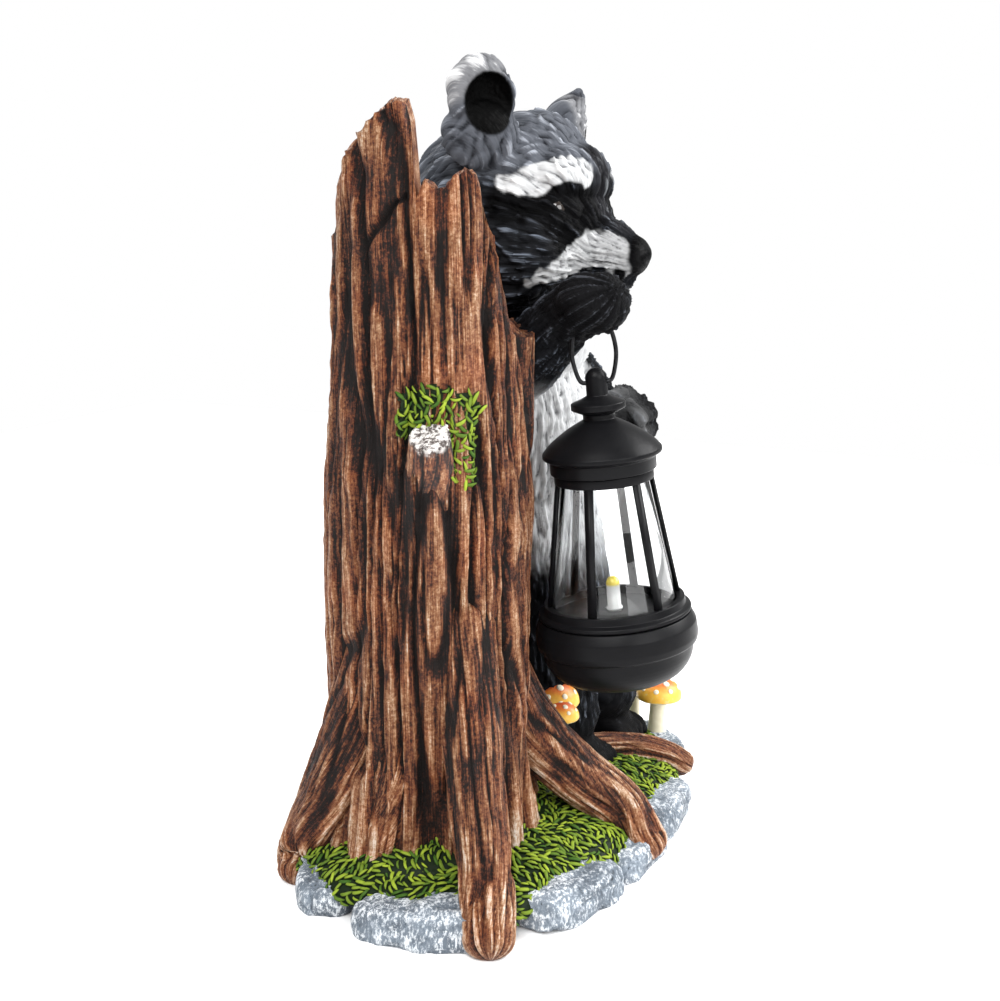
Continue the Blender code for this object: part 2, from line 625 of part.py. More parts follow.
def lantern_roof(group):
    """Hollow cap with a band, an overhanging rim and a low cone, under a flange and a round finial."""
    cone = ROOF_TOP - ROOF_SEAT
    neck = FINIAL_RADIUS * 1.5
    inner_band = BAND_RADIUS - ROOF_WALL
    profile = [(0.0, FINIAL_TOP)] + dome(FINIAL_RADIUS, FINIAL_TOP, (0.35, 0.7, 1.0))
    stalk = [(FINIAL_RADIUS, 0.46), (FLANGE_RADIUS * 0.62, 0.40), (FLANGE_RADIUS, 0.32)]
    stalk += [(FLANGE_RADIUS, 0.20), (neck, 0.10), (neck, 0.0)]
    profile += [(radius, ROOF_TOP + FINIAL_HEIGHT * share) for radius, share in stalk]
    slope = [(ROOF_RIM_RADIUS * 0.58, 0.80), (ROOF_RIM_RADIUS * 0.85, 0.57), (ROOF_RIM_RADIUS, 0.39)]
    slope += [(ROOF_RIM_RADIUS, 0.31), (BAND_RADIUS, 0.24), (BAND_RADIUS, 0.0)]
    slope += [(inner_band, 0.0), (inner_band, 0.20), (ROOF_RIM_RADIUS * 0.74, 0.42)]
    slope += [(ROOF_RIM_RADIUS * 0.45, 0.62), (0.0, 0.70)]
    profile += [(radius, ROOF_SEAT + cone * share) for radius, share in slope]
    roof = turned("lantern_roof", profile, group)
    bore = WIRE_RADIUS + SEAT_GAP
    body = bmesh.new()
    reach = 4 * FINIAL_RADIUS
    bmesh.ops.create_cone(body, cap_ends=True, segments=12, radius1=bore, radius2=bore, depth=reach)
    bmesh.ops.rotate(body, verts=body.verts, matrix=Matrix.Rotation(math.pi / 2, 3, "Y"))
    bmesh.ops.translate(body, verts=body.verts, vec=(0, 0, WIRE_HOLE))
    cutter = joined([body], "wire_hole", GUIDES)
    difference(roof, cutter, "Wire hole")
    apply_modifiers(roof)
    bpy.data.objects.remove(cutter)
    return roof


def lantern_led(group):
    top = CAGE_DECK + LED_HEIGHT
    seat = CAGE_DECK + SEAT_GAP
    flange = LED_RADIUS + LED_FLANGE
    foot = CAGE_FLOOR + 2 * LED_FLANGE
    profile = [(0.0, top)] + dome(LED_RADIUS, top, (0.33, 0.66, 1.0))
    profile += [(LED_RADIUS, seat + 2 * LED_FLANGE), (flange, seat + 2 * LED_FLANGE), (flange, seat)]
    profile += [(LED_RADIUS, seat), (LED_RADIUS, foot), (0.0, foot)]
    return turned("lantern_led", profile, group, sides=16)


def wire_route():
    """The bail from inside one side of the finial, round its loop and in at the other side."""
    half = WIRE_LOOP_WIDTH / 2
    rise = WIRE_LOOP_RISE
    stops = [(FINIAL_RADIUS * 0.45, 0.0), (FINIAL_RADIUS * 1.3, 0.0), (half * 0.86, rise * 0.14)]
    stops += [(half, rise * 0.42), (half * 0.86, rise * 0.72), (half * 0.52, rise * 0.93), (0.0, rise)]
    stops += [(-x, z) for x, z in stops[-2::-1]]
    line = curve_points([(x, 0.0, WIRE_HOLE + z) for x, z in stops], 37)
    line[0], line[1] = (stops[0][0], 0, WIRE_HOLE), (FINIAL_RADIUS, 0, WIRE_HOLE)
    line[-1], line[-2] = (-stops[0][0], 0, WIRE_HOLE), (-FINIAL_RADIUS, 0, WIRE_HOLE)
    return line


def wire_object(name, radius, spots, group, resolution=1):
    curve = bpy.data.curves.new(name, "CURVE")
    curve.dimensions = "3D"
    curve.bevel_depth = radius
    curve.bevel_resolution = resolution
    curve.use_fill_caps = True
    spline = curve.splines.new("POLY")
    spline.points.add(len(spots) - 1)
    for point, spot in zip(spline.points, spots):
        point.co = (*spot, 1.0)
    guide = bpy.data.objects.new(name + "_line", curve)
    group.objects.link(guide)
    mesh = bpy.data.meshes.new_from_object(guide.evaluated_get(bpy.context.evaluated_depsgraph_get()))
    bpy.data.objects.remove(guide)
    body = bmesh.new()
    body.from_mesh(mesh)
    bmesh.ops.remove_doubles(body, verts=body.verts, dist=0.00001)
    bmesh.ops.recalc_face_normals(body, faces=body.faces)
    body.to_mesh(mesh)
    body.free()
    mesh.name = name
    return mesh_object(name, mesh, group)


def lantern_room():
    """The space that the hanging lantern needs, with its clearance, as a cutter for the casting."""
    extra = LANTERN_CLEARANCE
    shoulder = (ROOF_SEAT + ROOF_TOP) / 2
    profile = [(0.0, FINIAL_TOP + extra), (FINIAL_RADIUS + extra, FINIAL_TOP + extra)]
    profile += [(FLANGE_RADIUS + extra, ROOF_TOP + FINIAL_HEIGHT * 0.45)]
    profile += [(FLANGE_RADIUS + extra, ROOF_TOP + extra)]
    profile += [(ROOF_RIM_RADIUS + extra, shoulder), (ROOF_RIM_RADIUS + extra, ROOF_SEAT)]
    profile += [(TOP_RING_RADIUS + 2 * extra, CAGE_TOP - TOP_RING_HEIGHT)]
    profile += [(RING_RADIUS + extra, RING_TOP + extra)]
    profile += [(BOWL_RADIUS + extra, CAGE_FLOOR), (BOWL_RADIUS + extra, BOWL_HEIGHT * 0.54)]
    profile += [(radius + extra, height - extra) for radius, height in bowl_outline()[5:-1]] + [(0.0, -extra)]
    return turned("lantern_room", profile, GUIDES)


def casting(group, lantern):
    made = joined([trunk()] + roots() + knot() + base() + mushrooms(), "statue_casting", group)
    animal = raccoon()
    body = bmesh.new()
    body.from_mesh(made.data)
    body.from_mesh(animal.data)
    body.to_mesh(made.data)
    body.free()
    bpy.data.objects.remove(animal)
    remesh(made, CASTING_VOXEL)
    smooth(made, 1)
    tool = made.modifiers.new("Fewer faces", "DECIMATE")
    tool.ratio = CASTING_TRIANGLES / (2.0 * len(made.data.polygons))
    apply_modifiers(made)
    flat_underside(made)
    wire_way = wire_object("wire_way", WIRE_RADIUS + WIRE_CLEARANCE, wire_route()[4:-4:2], GUIDES)
    for cutter, name in ((wire_way, "Wire way"), (lantern_room(), "Lantern room")):
        cutter.parent = lantern
        difference(made, cutter, name)
    bpy.context.view_layer.update()
    apply_modifiers(made)
    return made


def lantern_frame(group):
    """The empty that hangs the lantern: the top of its wire loop is in the hand."""
    frame = bpy.data.objects.new("lantern_axis", None)
    group.objects.link(frame)
    turn = Matrix(((SIDE[0], BACK[0], 0.0), (SIDE[1], BACK[1], 0.0), (0.0, 0.0, 1.0))).to_4x4()
    lean = turn @ Matrix.Rotation(-LANTERN_TILT, 4, "Y")
    grip = Vector((HAND - (0.0, 0.0, GRIP_DROP)) * UNIT)
    place = Matrix.Translation(grip) @ lean @ Matrix.Translation((0.0, 0.0, -WIRE_TOP))
    frame.matrix_world = place
    return frame


clear_scene()
PARTS = new_collection("solar_raccoon_garden_statue")
GUIDES = new_collection("cutters", hidden=True)

RESIN = finish_material("painted_resin", (0.16, 0.10, 0.07), 0.62)
BLACK = finish_material("satin_black_plastic", (0.012, 0.012, 0.013), 0.42)
CLEAR = finish_material("clear_plastic", (0.95, 0.97, 0.98), 0.06, alpha=0.05)
WIRE = finish_material("blackened_wire", (0.03, 0.03, 0.03), 0.38)
LAMP = finish_material("led_lens", (0.95, 0.88, 0.62), 0.15)

axis = lantern_frame(PARTS)
bpy.context.view_layer.update()
statue = casting(PARTS, axis)
statue.data.materials.clear()
statue.data.materials.append(RESIN)
pieces = {
    "lantern_bowl": (lantern_bowl(PARTS), BLACK),
    "lantern_cage": (lantern_cage(PARTS), BLACK),
    "lantern_shade": (lantern_shade(PARTS), CLEAR),
    "lantern_roof": (lantern_roof(PARTS), BLACK),
    "lantern_led": (lantern_led(PARTS), LAMP),
    "lantern_bail": (wire_object("lantern_bail", WIRE_RADIUS, wire_route(), PARTS), WIRE),
}
for piece, finish in pieces.values():
    piece.parent = axis
    piece.data.materials.clear()
    piece.data.materials.append(finish)
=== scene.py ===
"""Finishes a solar raccoon garden statue: bark, fur, moss, stones, mushrooms and the hanging lantern.

Laid out as an add-on and run as a script. Lengths in the form functions are in millimetres.
"""

import json
import math

import bmesh
import bpy
import numpy as np
from bpy.props import FloatProperty, FloatVectorProperty, IntProperty, PointerProperty
from mathutils import Matrix, Vector

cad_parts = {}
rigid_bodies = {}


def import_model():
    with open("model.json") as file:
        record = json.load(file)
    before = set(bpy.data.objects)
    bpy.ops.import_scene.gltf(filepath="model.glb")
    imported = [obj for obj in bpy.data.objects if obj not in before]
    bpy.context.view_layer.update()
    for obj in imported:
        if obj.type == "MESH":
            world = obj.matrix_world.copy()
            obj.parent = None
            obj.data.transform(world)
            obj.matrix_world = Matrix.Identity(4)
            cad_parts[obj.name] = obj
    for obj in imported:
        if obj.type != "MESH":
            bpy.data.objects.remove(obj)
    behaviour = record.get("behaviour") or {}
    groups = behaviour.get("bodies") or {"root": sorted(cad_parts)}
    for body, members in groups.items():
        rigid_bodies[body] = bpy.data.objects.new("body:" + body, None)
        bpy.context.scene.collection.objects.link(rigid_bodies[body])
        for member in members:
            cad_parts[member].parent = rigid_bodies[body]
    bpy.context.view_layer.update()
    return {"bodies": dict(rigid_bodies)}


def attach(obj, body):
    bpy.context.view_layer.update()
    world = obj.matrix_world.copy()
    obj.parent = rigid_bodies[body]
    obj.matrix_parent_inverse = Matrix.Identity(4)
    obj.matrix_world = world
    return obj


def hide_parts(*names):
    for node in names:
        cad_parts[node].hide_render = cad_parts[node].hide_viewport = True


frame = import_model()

BODY = next(iter(frame["bodies"]))

bl_info = {
    "name": "Raccoon garden statue",
    "version": (1, 0, 0),
    "blender": (4, 5, 0),
    "location": "View3D > Sidebar > Statue",
    "description": "Makes the finished pieces of a cast resin raccoon statue with a hanging lantern",
    "category": "Object",
}

MM = 0.001
# Level directions of the trunk's plan: toward the lantern, and back through the stump
SIDE = np.array((0.4226, -0.9063, 0.0))
BACK = np.array((0.9063, 0.4226, 0.0))
TRUNK_CENTRE = np.array((-41.0, 8.0, 0.0))
TRUNK_RADIUS = 35.5
NOSE_TIP = np.array((33.0, -45.5, 224.5))
HAND = np.array((-10.3, -40.3, 209.0))
# The fist holds the top of the bail this far under the hand's middle
GRIP_DROP = 2.5
FACE_MIDDLE = 35.0
BODY_MIDDLE = 38.0
EYE_SPOT = (14.2, -16.1, 242.0)
EYE_SIZE = (4.5, 4.5, 4.3)
KNOT_ANGLE = math.radians(205.0)
KNOT_MIDDLE = np.array((-78.4, -11.7, 171.2))
KNOT_FACING = np.array((-0.499, -0.220, 0.838))

# The rim of the base: its half length and half width, how square it is, and how far the stones stand in
BASE_REACH = (105.0, 70.0)
RIM_POWER = 2.5
STONES = 13
STONE_INSET = 11.5
# The rim is drawn in a little beside the root at the back left
HOLLOW_ANGLE = 2.42
HOLLOW_DEPTH = 0.11
HOLLOW_WIDTH = 0.2

# Each ear's middle, heading and tilt, the egg-shaped hollow cut into it and the slightly larger one painted black
EAR_RIGHT = ((3, 9, 282.5), math.radians(-48), math.radians(-4))
EAR_LEFT = ((67.5, 4, 269), math.radians(55), math.radians(-20))
EAR_HOLLOW_MIDDLE = (2.0, -6.2, -2.8)
EAR_HOLLOW_REACH = (9.6, 7.4, 10.6)
EAR_BLACK_REACH = (10.1, 8.0, 11.1)


def colour_setting(name, words, value):
    return FloatVectorProperty(name=name, description=words, subtype="COLOR", size=3, min=0.0, max=1.0, default=value)


class StatueSettings(bpy.types.PropertyGroup):
    """Sizes and colours of the finish."""

    bark_mid: colour_setting("Bark", "Main brown of the bark ridges", (0.115, 0.034, 0.014))
    bark_light: colour_setting("Bark highlight", "Tan brushed over the ridges", (0.400, 0.245, 0.145))
    bark_dark: colour_setting("Bark wash", "Dark wash in the grooves", (0.004, 0.002, 0.0015))
    fur_dark: colour_setting("Dark fur", "Coat of the raccoon", (0.007, 0.0075, 0.009))
    fur_grey: colour_setting("Fur highlight", "Grey brushed over the coat", (0.165, 0.190, 0.235))
    fur_pale: colour_setting("Pale fur", "Brows, muzzle, chest and belly", (0.800, 0.810, 0.820))
    stone: colour_setting("Stone", "Blue grey of the rim stones", (0.165, 0.200, 0.240))
    moss_dark: colour_setting("Moss shade", "Green between the moss strands", (0.004, 0.010, 0.002))
    moss_light: colour_setting("Moss", "Yellow green of the strands", (0.238, 0.310, 0.025))
    plastic: colour_setting("Lantern", "Black of the lantern", (0.0035, 0.0035, 0.004))
    moss_strand: FloatProperty(
        name="Moss strand", description="Length of one strand", unit="LENGTH", default=0.0050, min=0.001
    )
    moss_spacing: FloatProperty(
        name="Moss spacing", description="Least distance between strands", unit="LENGTH", default=0.0019, min=0.0005
    )
    trunk_columns: IntProperty(name="Trunk columns", description="Faces around the trunk", default=300, min=60)
    head_skin: FloatProperty(
        name="Head detail", description="Size of a facet on the head", unit="LENGTH", default=0.00064, min=0.0003
    )
    body_skin: FloatProperty(
        name="Body detail", description="Size of a facet on the body", unit="LENGTH", default=0.00102, min=0.0003
    )
    bars: IntProperty(name="Bars", description="Bars around the shade", default=6, min=3)


def settings():
    return bpy.context.scene.raccoon_statue


# Noise and carving


def lattice_value(cell, seed):
    mixed = (cell[:, 0] * 73856093) ^ (cell[:, 1] * 19349663) ^ (cell[:, 2] * 83492791) ^ (seed * 2654435761)
    mixed = (mixed ^ (mixed >> 13)) * 1274126177 & 0xFFFFFFFF
    return ((mixed ^ (mixed >> 16)) & 0xFFFF) / 65535.0


def soft_noise(spots, seed):
    """A smooth value from 0 to 1 at each spot, with one lump to each unit."""
    low = np.floor(spots).astype(np.int64)
    part = spots - low
    part = part * part * (3.0 - 2.0 * part)
    total = np.zeros(len(spots))
    for corner in range(8):
        step = np.array((corner & 1, corner >> 1 & 1, corner >> 2 & 1))
        weight = np.prod(np.where(step == 1, part, 1.0 - part), axis=1)
        total += weight * lattice_value(low + step, seed)
    return total


def ridges(spots, seed):
    """0 at the bottom of a groove and 1 on the ridge beside it."""
    return np.minimum(1.0, np.abs(soft_noise(spots, seed) * 2.0 - 1.0) * 2.6)


def plane_spots(across, along, layer=0.0):
    return np.stack((across, along, np.full_like(across, layer)), axis=1)


def locks(across, along, width, length, seed):
    """Overlapping pointed locks of fur that run along, from 0 between them to 1 near each tip."""
    sway = soft_noise(plane_spots(across / (width * 3.0), along / (length * 0.9)), seed + 1)
    row = across / width + 2.2 * sway
    index = np.floor(row)
    inner = np.abs((row - index) * 2.0 - 1.0)
    cell = plane_spots(index, index * 0.0).astype(np.int64)
    place = along / length + lattice_value(cell, seed) * 5.0 + 0.35 * sway
    share = place - np.floor(place)
    reach = np.clip((1.06 - share) * 2.4, 0.12, 1.0)
    return np.clip(1.0 - (inner / reach) ** 1.7, 0.0, 1.0) * (0.35 + 0.65 * share)


def near(spots, middle, reach, power=2.0):
    return np.exp(-((np.linalg.norm(spots - np.asarray(middle, float), axis=1) / reach) ** power))


def step_up(values, low, high):
    share = np.clip((values - low) / (high - low), 0.0, 1.0)
    return share * share * (3.0 - 2.0 * share)


def along_line(spots, line):
    """(distance, run, angle) of each spot against a line of points."""
    line = np.asarray(line, float)
    runs = np.concatenate(([0.0], np.cumsum(np.linalg.norm(np.diff(line, axis=0), axis=1))))
    best = np.full(len(spots), 1e9)
    run = np.zeros(len(spots))
    angle = np.zeros(len(spots))
    for index in range(len(line) - 1):
        start, ahead = line[index], line[index + 1] - line[index]
        length = np.linalg.norm(ahead)
        unit = ahead / length
        share = np.clip((spots - start) @ unit / length, 0.0, 1.0)
        out = spots - start - share[:, None] * ahead
        distance = np.linalg.norm(out, axis=1)
        side = np.cross(unit, (0.03, 0.02, 1.0))
        side /= np.linalg.norm(side)
        up = np.cross(side, unit)
        nearer = distance < best
        best = np.where(nearer, distance, best)
        run = np.where(nearer, runs[index] + share * length, run)
        angle = np.where(nearer, np.arctan2(out @ up, out @ side), angle)
    return best, run, angle


# Meshes


def mesh_piece(name, points, faces):
    mesh = bpy.data.meshes.new(name)
    mesh.from_pydata(np.asarray(points).tolist(), [], faces)
    mesh.update()
    made = bpy.data.objects.new(name, mesh)
    bpy.context.collection.objects.link(made)
    return made


def set_values(made, name, values):
    data = made.data.attributes.new(name, "FLOAT", "POINT")
    data.data.foreach_set("value", np.asarray(values, np.float32).ravel())


def set_vectors(made, name, values):
    data = made.data.attributes.new(name, "FLOAT_VECTOR", "POINT")
    data.data.foreach_set("vector", np.asarray(values, np.float32).ravel())


def set_colours(made, name, values):
    data = made.data.attributes.new(name, "FLOAT_COLOR", "POINT")
    solid = np.concatenate((values, np.ones((len(values), 1))), axis=1)
    data.data.foreach_set("color", solid.astype(np.float32).ravel())


def mesh_points(made):
    values = np.empty(len(made.data.vertices) * 3, np.float32)
    made.data.vertices.foreach_get("co", values)
    return values.reshape(-1, 3).astype(float)


def mesh_normals(made):
    values = np.empty(len(made.data.vertices) * 3, np.float32)
    made.data.vertices.foreach_get("normal", values)
    return values.reshape(-1, 3).astype(float)


def ring_faces(count, sides):
    """Faces of a closed loft: quads between rings, and a fan over each end."""
    faces = []
    for ring in range(count - 1):
        low, high = ring * sides, (ring + 1) * sides
        for side in range(sides):
            turn = (side + 1) % sides
            faces.append((low + side, low + turn, high + turn, high + side))
    first, last = count * sides, count * sides + 1
    top = (count - 1) * sides
    for side in range(sides):
        turn = (side + 1) % sides
        faces.append((turn, side, first))
        faces.append((top + side, top + turn, last))
    return faces


def loft_data(rings, extras):
    """(points, faces, extras with the two end points added) of a loft. Each extra has one value a point."""
    rings = np.asarray(rings)
    count, sides = rings.shape[:2]
    points = np.concatenate((rings.reshape(-1, 3), [rings[0].mean(axis=0)], [rings[-1].mean(axis=0)]))
    ended = []
    for extra in extras:
        extra = np.asarray(extra)
        flat = extra.reshape(count * sides, -1)
        ends = [extra[0].reshape(sides, -1).mean(axis=0), extra[-1].reshape(sides, -1).mean(axis=0)]
        ended.append(np.concatenate((flat, ends)))
    return points, ring_faces(count, sides), ended


def piece_of(name, parts):
    """One object from several (points, faces, [carve, flow]) parts."""
    points, faces, carve, flow, start = [], [], [], [], 0
    for part_points, part_faces, (part_carve, part_flow) in parts:
        points.append(part_points)
        faces += [tuple(corner + start for corner in face) for face in part_faces]
        carve.append(part_carve.reshape(-1))
        flow.append(part_flow)
        start += len(part_points)
    made = mesh_piece(name, np.concatenate(points) * MM, faces)
    set_values(made, "carve", np.concatenate(carve))
    set_vectors(made, "flow", np.concatenate(flow))
    return made


def curve_points(stops, count):
    """Points on a smooth curve through the stops, whose rows may hold a radius as well."""
    stops = np.asarray(stops, float)
    padded = np.vstack((2 * stops[0] - stops[1], stops, 2 * stops[-1] - stops[-2]))
    made = []
    for place in np.linspace(0.0, len(stops) - 1.000001, count):
        index = int(place)
        share = place - index
        before, start, end, after = padded[index : index + 4]
        bend = (2 * before - 5 * start + 4 * end - after) * share**2
        twist = (3 * start - before - 3 * end + after) * share**3
        made.append(0.5 * (2 * start + (end - before) * share + (bend + twist)))
    return np.array(made)


def limb_data(stops, steps=24, sides=20, relief=None):
    """A round tapered limb through (x, y, z, radius) stops, with domed ends, as loft data."""
    line = curve_points(stops, steps)
    spots, radii = line[:, :3], np.maximum(line[:, 3], 0.4)
    ahead = np.gradient(spots, axis=0)
    ahead /= np.linalg.norm(ahead, axis=1)[:, None]
    across = np.cross(ahead, (0.03, 0.02, 1.0))
    across /= np.linalg.norm(across, axis=1)[:, None]
    up = np.cross(ahead, across)
    angles = np.linspace(0.0, 2 * math.pi, sides, endpoint=False)
    run = np.concatenate(([0.0], np.cumsum(np.linalg.norm(np.diff(spots, axis=0), axis=1))))
    domes = np.radians((84.0, 68.0, 52.0, 36.0, 18.0))
    rows = []
    for dome in domes:
        rows.append((spots[0] - ahead[0] * radii[0] * math.sin(dome) * 0.8, 0, math.cos(dome), -radii[0] * dome))
    for index in range(steps):
        rows.append((spots[index], index, 1.0, run[index]))
    for dome in domes[::-1]:
        end = spots[-1] + ahead[-1] * radii[-1] * math.sin(dome) * 0.8
        rows.append((end, steps - 1, math.cos(dome), run[-1] + radii[-1] * dome))
    rings, carve, flow = [], [], []
    for spot, index, share, reach_along in rows:
        height, shade = np.zeros(sides), np.ones(sides)
        if relief is not None:
            height, shade = relief(angles, reach_along, radii[index])
        reach = (radii[index] + height) * share
        rings.append(
            spot + (np.cos(angles) * reach)[:, None] * across[index] + (np.sin(angles) * reach)[:, None] * up[index]
        )
        carve.append(shade)
        flow.append(plane_spots(angles * radii[index], angles * 0.0 + reach_along))
    return loft_data(rings, (carve, flow))


def lump(centre, radii, turn=(0.0, 0.0, 0.0), boxy=1.0, fine=4):
    """Points and faces of an egg shape. boxy under 1 squares it off, as on a stone."""
    body = bmesh.new()
    bmesh.ops.create_icosphere(body, subdivisions=fine, radius=1.0)
    for vert in body.verts:
        for axis in range(3):
            vert.co[axis] = math.copysign(abs(vert.co[axis]) ** boxy, vert.co[axis]) * radii[axis]
    spin = Matrix.Rotation(turn[2], 4, "Z") @ Matrix.Rotation(turn[1], 4, "Y") @ Matrix.Rotation(turn[0], 4, "X")
    bmesh.ops.transform(body, matrix=Matrix.Translation(Vector(centre)) @ spin, verts=body.verts)
    body.verts.index_update()
    points = np.array([tuple(vert.co) for vert in body.verts])
    faces = [tuple(vert.index for vert in face.verts) for face in body.faces]
    body.free()
    return points, faces


def joined(name, parts):
    points, faces, start = [], [], 0
    for part in parts:
        points.append(part[0])
        faces += [tuple(corner + start for corner in face) for face in part[1]]
        start += len(part[0])
    return mesh_piece(name, np.concatenate(points) * MM, faces)


def apply_modifiers(made):
    mesh = bpy.data.meshes.new_from_object(made.evaluated_get(bpy.context.evaluated_depsgraph_get()))
    made.modifiers.clear()
    made.data = mesh
    mesh.name = made.name


def one_skin(made, voxel, rounds):
    """Joins overlapping forms into one skin and softens the creases."""
    tool = made.modifiers.new("One skin", "REMESH")
    tool.mode = "VOXEL"
    tool.voxel_size = voxel
    soften = made.modifiers.new("Soften", "SMOOTH")
    soften.factor = 0.5
    soften.iterations = rounds
    apply_modifiers(made)


def finish_piece(made, material, nodes):
    made.data.materials.clear()
    made.data.materials.append(material)
    made.data.shade_smooth()
    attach(made, BODY)
    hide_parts(*nodes)


# Material helpers


def link_in(tree, node, socket, value):
    """Sets a socket to a plain value, or links another node's output to it."""
    if isinstance(value, bpy.types.NodeSocket):
        tree.links.new(value, node.inputs[socket])
    else:
        node.inputs[socket].default_value = value


def put(tree, kind, sockets=(), **options):
    made = tree.nodes.new(kind)
    for key, value in options.items():
        setattr(made, key, value)
    for socket, value in dict(sockets).items():
        link_in(tree, made, socket, value)
    return made


def noise(tree, vector, scale, detail=3.0, roughness=0.5):
    sockets = {"Vector": vector, "Scale": scale, "Detail": detail, "Roughness": roughness}
    return put(tree, "ShaderNodeTexNoise", sockets).outputs[0]


def spread(tree, value, low, high, out_low=0.0, out_high=1.0):
    kind = {"Value": value, "From Min": low, "From Max": high, "To Min": out_low, "To Max": out_high}
    return put(tree, "ShaderNodeMapRange", kind, interpolation_type="SMOOTHSTEP").outputs[0]


def mix(tree, share, first, second, blend="MIX"):
    made = tree.nodes.new("ShaderNodeMix")
    made.data_type = "RGBA"
    made.blend_type = blend
    link_in(tree, made, 0, share)
    link_in(tree, made, 6, first)
    link_in(tree, made, 7, second)
    return made.outputs[2]


def maths(tree, kind, first, second=0.0):
    made = tree.nodes.new("ShaderNodeMath")
    made.operation = kind
    link_in(tree, made, 0, first)
    link_in(tree, made, 1, second)
    return made.outputs[0]


def scaled(tree, vector, factors):
    return put(tree, "ShaderNodeMapping", {"Vector": vector, "Scale": factors}).outputs[0]


def attribute(tree, name, output="Fac"):
    made = tree.nodes.new("ShaderNodeAttribute")
    made.attribute_name = name
    return made.outputs[output]


def object_spot(tree):
    return tree.nodes.new("ShaderNodeTexCoord").outputs["Object"]


def full(colour):
    return (*tuple(colour)[:3], 1.0)


def ramp(tree, value, stops):
    """A colour along a run of (place, colour) stops."""
    made = tree.nodes.new("ShaderNodeValToRGB")
    link_in(tree, made, "Fac", value)
    elements = made.color_ramp.elements
    elements[0].position, elements[0].color = stops[0][0], full(stops[0][1])
    elements[1].position, elements[1].color = stops[-1][0], full(stops[-1][1])
    for place, colour in stops[1:-1]:
        elements.new(place).color = full(colour)
    return made.outputs["Color"]


def grained(tree, value, grain, share):
    """The value, raised and lowered by a share of the grain."""
    return maths(tree, "ADD", value, maths(tree, "MULTIPLY", maths(tree, "SUBTRACT", grain, 0.5), share))


def new_group(name, inputs, outputs):
    tree = bpy.data.node_groups.new(name, "ShaderNodeTree")
    for label, kind, value in inputs:
        socket = tree.interface.new_socket(label, in_out="INPUT", socket_type=kind)
        if value is not None:
            socket.default_value = value
    for label, kind in outputs:
        tree.interface.new_socket(label, in_out="OUTPUT", socket_type=kind)
    return tree, tree.nodes.new("NodeGroupInput").outputs, tree.nodes.new("NodeGroupOutput")


COLOUR, NUMBER, VECTOR = "NodeSocketColor", "NodeSocketFloat", "NodeSocketVector"


def brushed_paint():
    """Dark wash in the grooves and dry-brushed paint on the ridges, broken up by grain."""
    made = bpy.data.node_groups.get("brushed_paint")
    if made:
        return made
    inputs = (
        ("Color", COLOUR, None), ("Wash", COLOUR, None), ("Brushed", COLOUR, None), ("Carve", NUMBER, 0.5),
        ("Wash Depth", NUMBER, 0.3), ("Brush Start", NUMBER, 0.6), ("Brush Amount", NUMBER, 0.8),
        ("Grain", NUMBER, 0.5),
    )
    tree, given, out = new_group("brushed_paint", inputs, (("Color", COLOUR),))
    carve = grained(tree, given["Carve"], given["Grain"], 0.7)
    washed = mix(tree, spread(tree, carve, 0.0, given["Wash Depth"]), given["Wash"], given["Color"])
    brush_end = maths(tree, "ADD", given["Brush Start"], 0.45)
    brush = maths(tree, "MULTIPLY", spread(tree, carve, given["Brush Start"], brush_end), given["Brush Amount"])
    link_in(tree, out, "Color", mix(tree, brush, washed, given["Brushed"]))
    return tree


def strand_grain():
    """Fine strands along the carving's own flow, as a value and a broad patchiness."""
    made = bpy.data.node_groups.get("strand_grain")
    if made:
        return made
    inputs = (("Flow", VECTOR, None), ("Across", NUMBER, 0.8), ("Along", NUMBER, 0.08), ("Patch", NUMBER, 0.05))
    tree, given, out = new_group("strand_grain", inputs, (("Strand", NUMBER), ("Patch", NUMBER)))
    stretch = put(tree, "ShaderNodeCombineXYZ", {"X": given["Across"], "Y": given["Along"], "Z": 1.0}).outputs[0]
    flow = put(tree, "ShaderNodeVectorMath", {0: given["Flow"], 1: stretch}, operation="MULTIPLY").outputs[0]
    link_in(tree, out, "Strand", noise(tree, flow, 1.0, 4.0, 0.62))
    sockets = {0: given["Flow"], "Scale": given["Patch"]}
    patch = put(tree, "ShaderNodeVectorMath", sockets, operation="SCALE").outputs[0]
    link_in(tree, out, "Patch", noise(tree, patch, 1.0, 3.0, 0.6))
    return tree


def group_node(tree, group, sockets):
    made = tree.nodes.new("ShaderNodeGroup")
    made.node_tree = group
    for socket, value in sockets.items():
        link_in(tree, made, socket, value)
    return made


def new_material(name, **plain):
    made = bpy.data.materials.new(name)
    made.use_nodes = True
    shader = made.node_tree.nodes["Principled BSDF"]
    for key, value in plain.items():
        shader.inputs[key.replace("_", " ")].default_value = value
    return made, made.node_tree, shader


def bump(tree, shader, height, strength, distance):
    made = put(tree, "ShaderNodeBump", {"Height": height, "Strength": strength, "Distance": distance})
    link_in(tree, shader, "Normal", made.outputs[0])


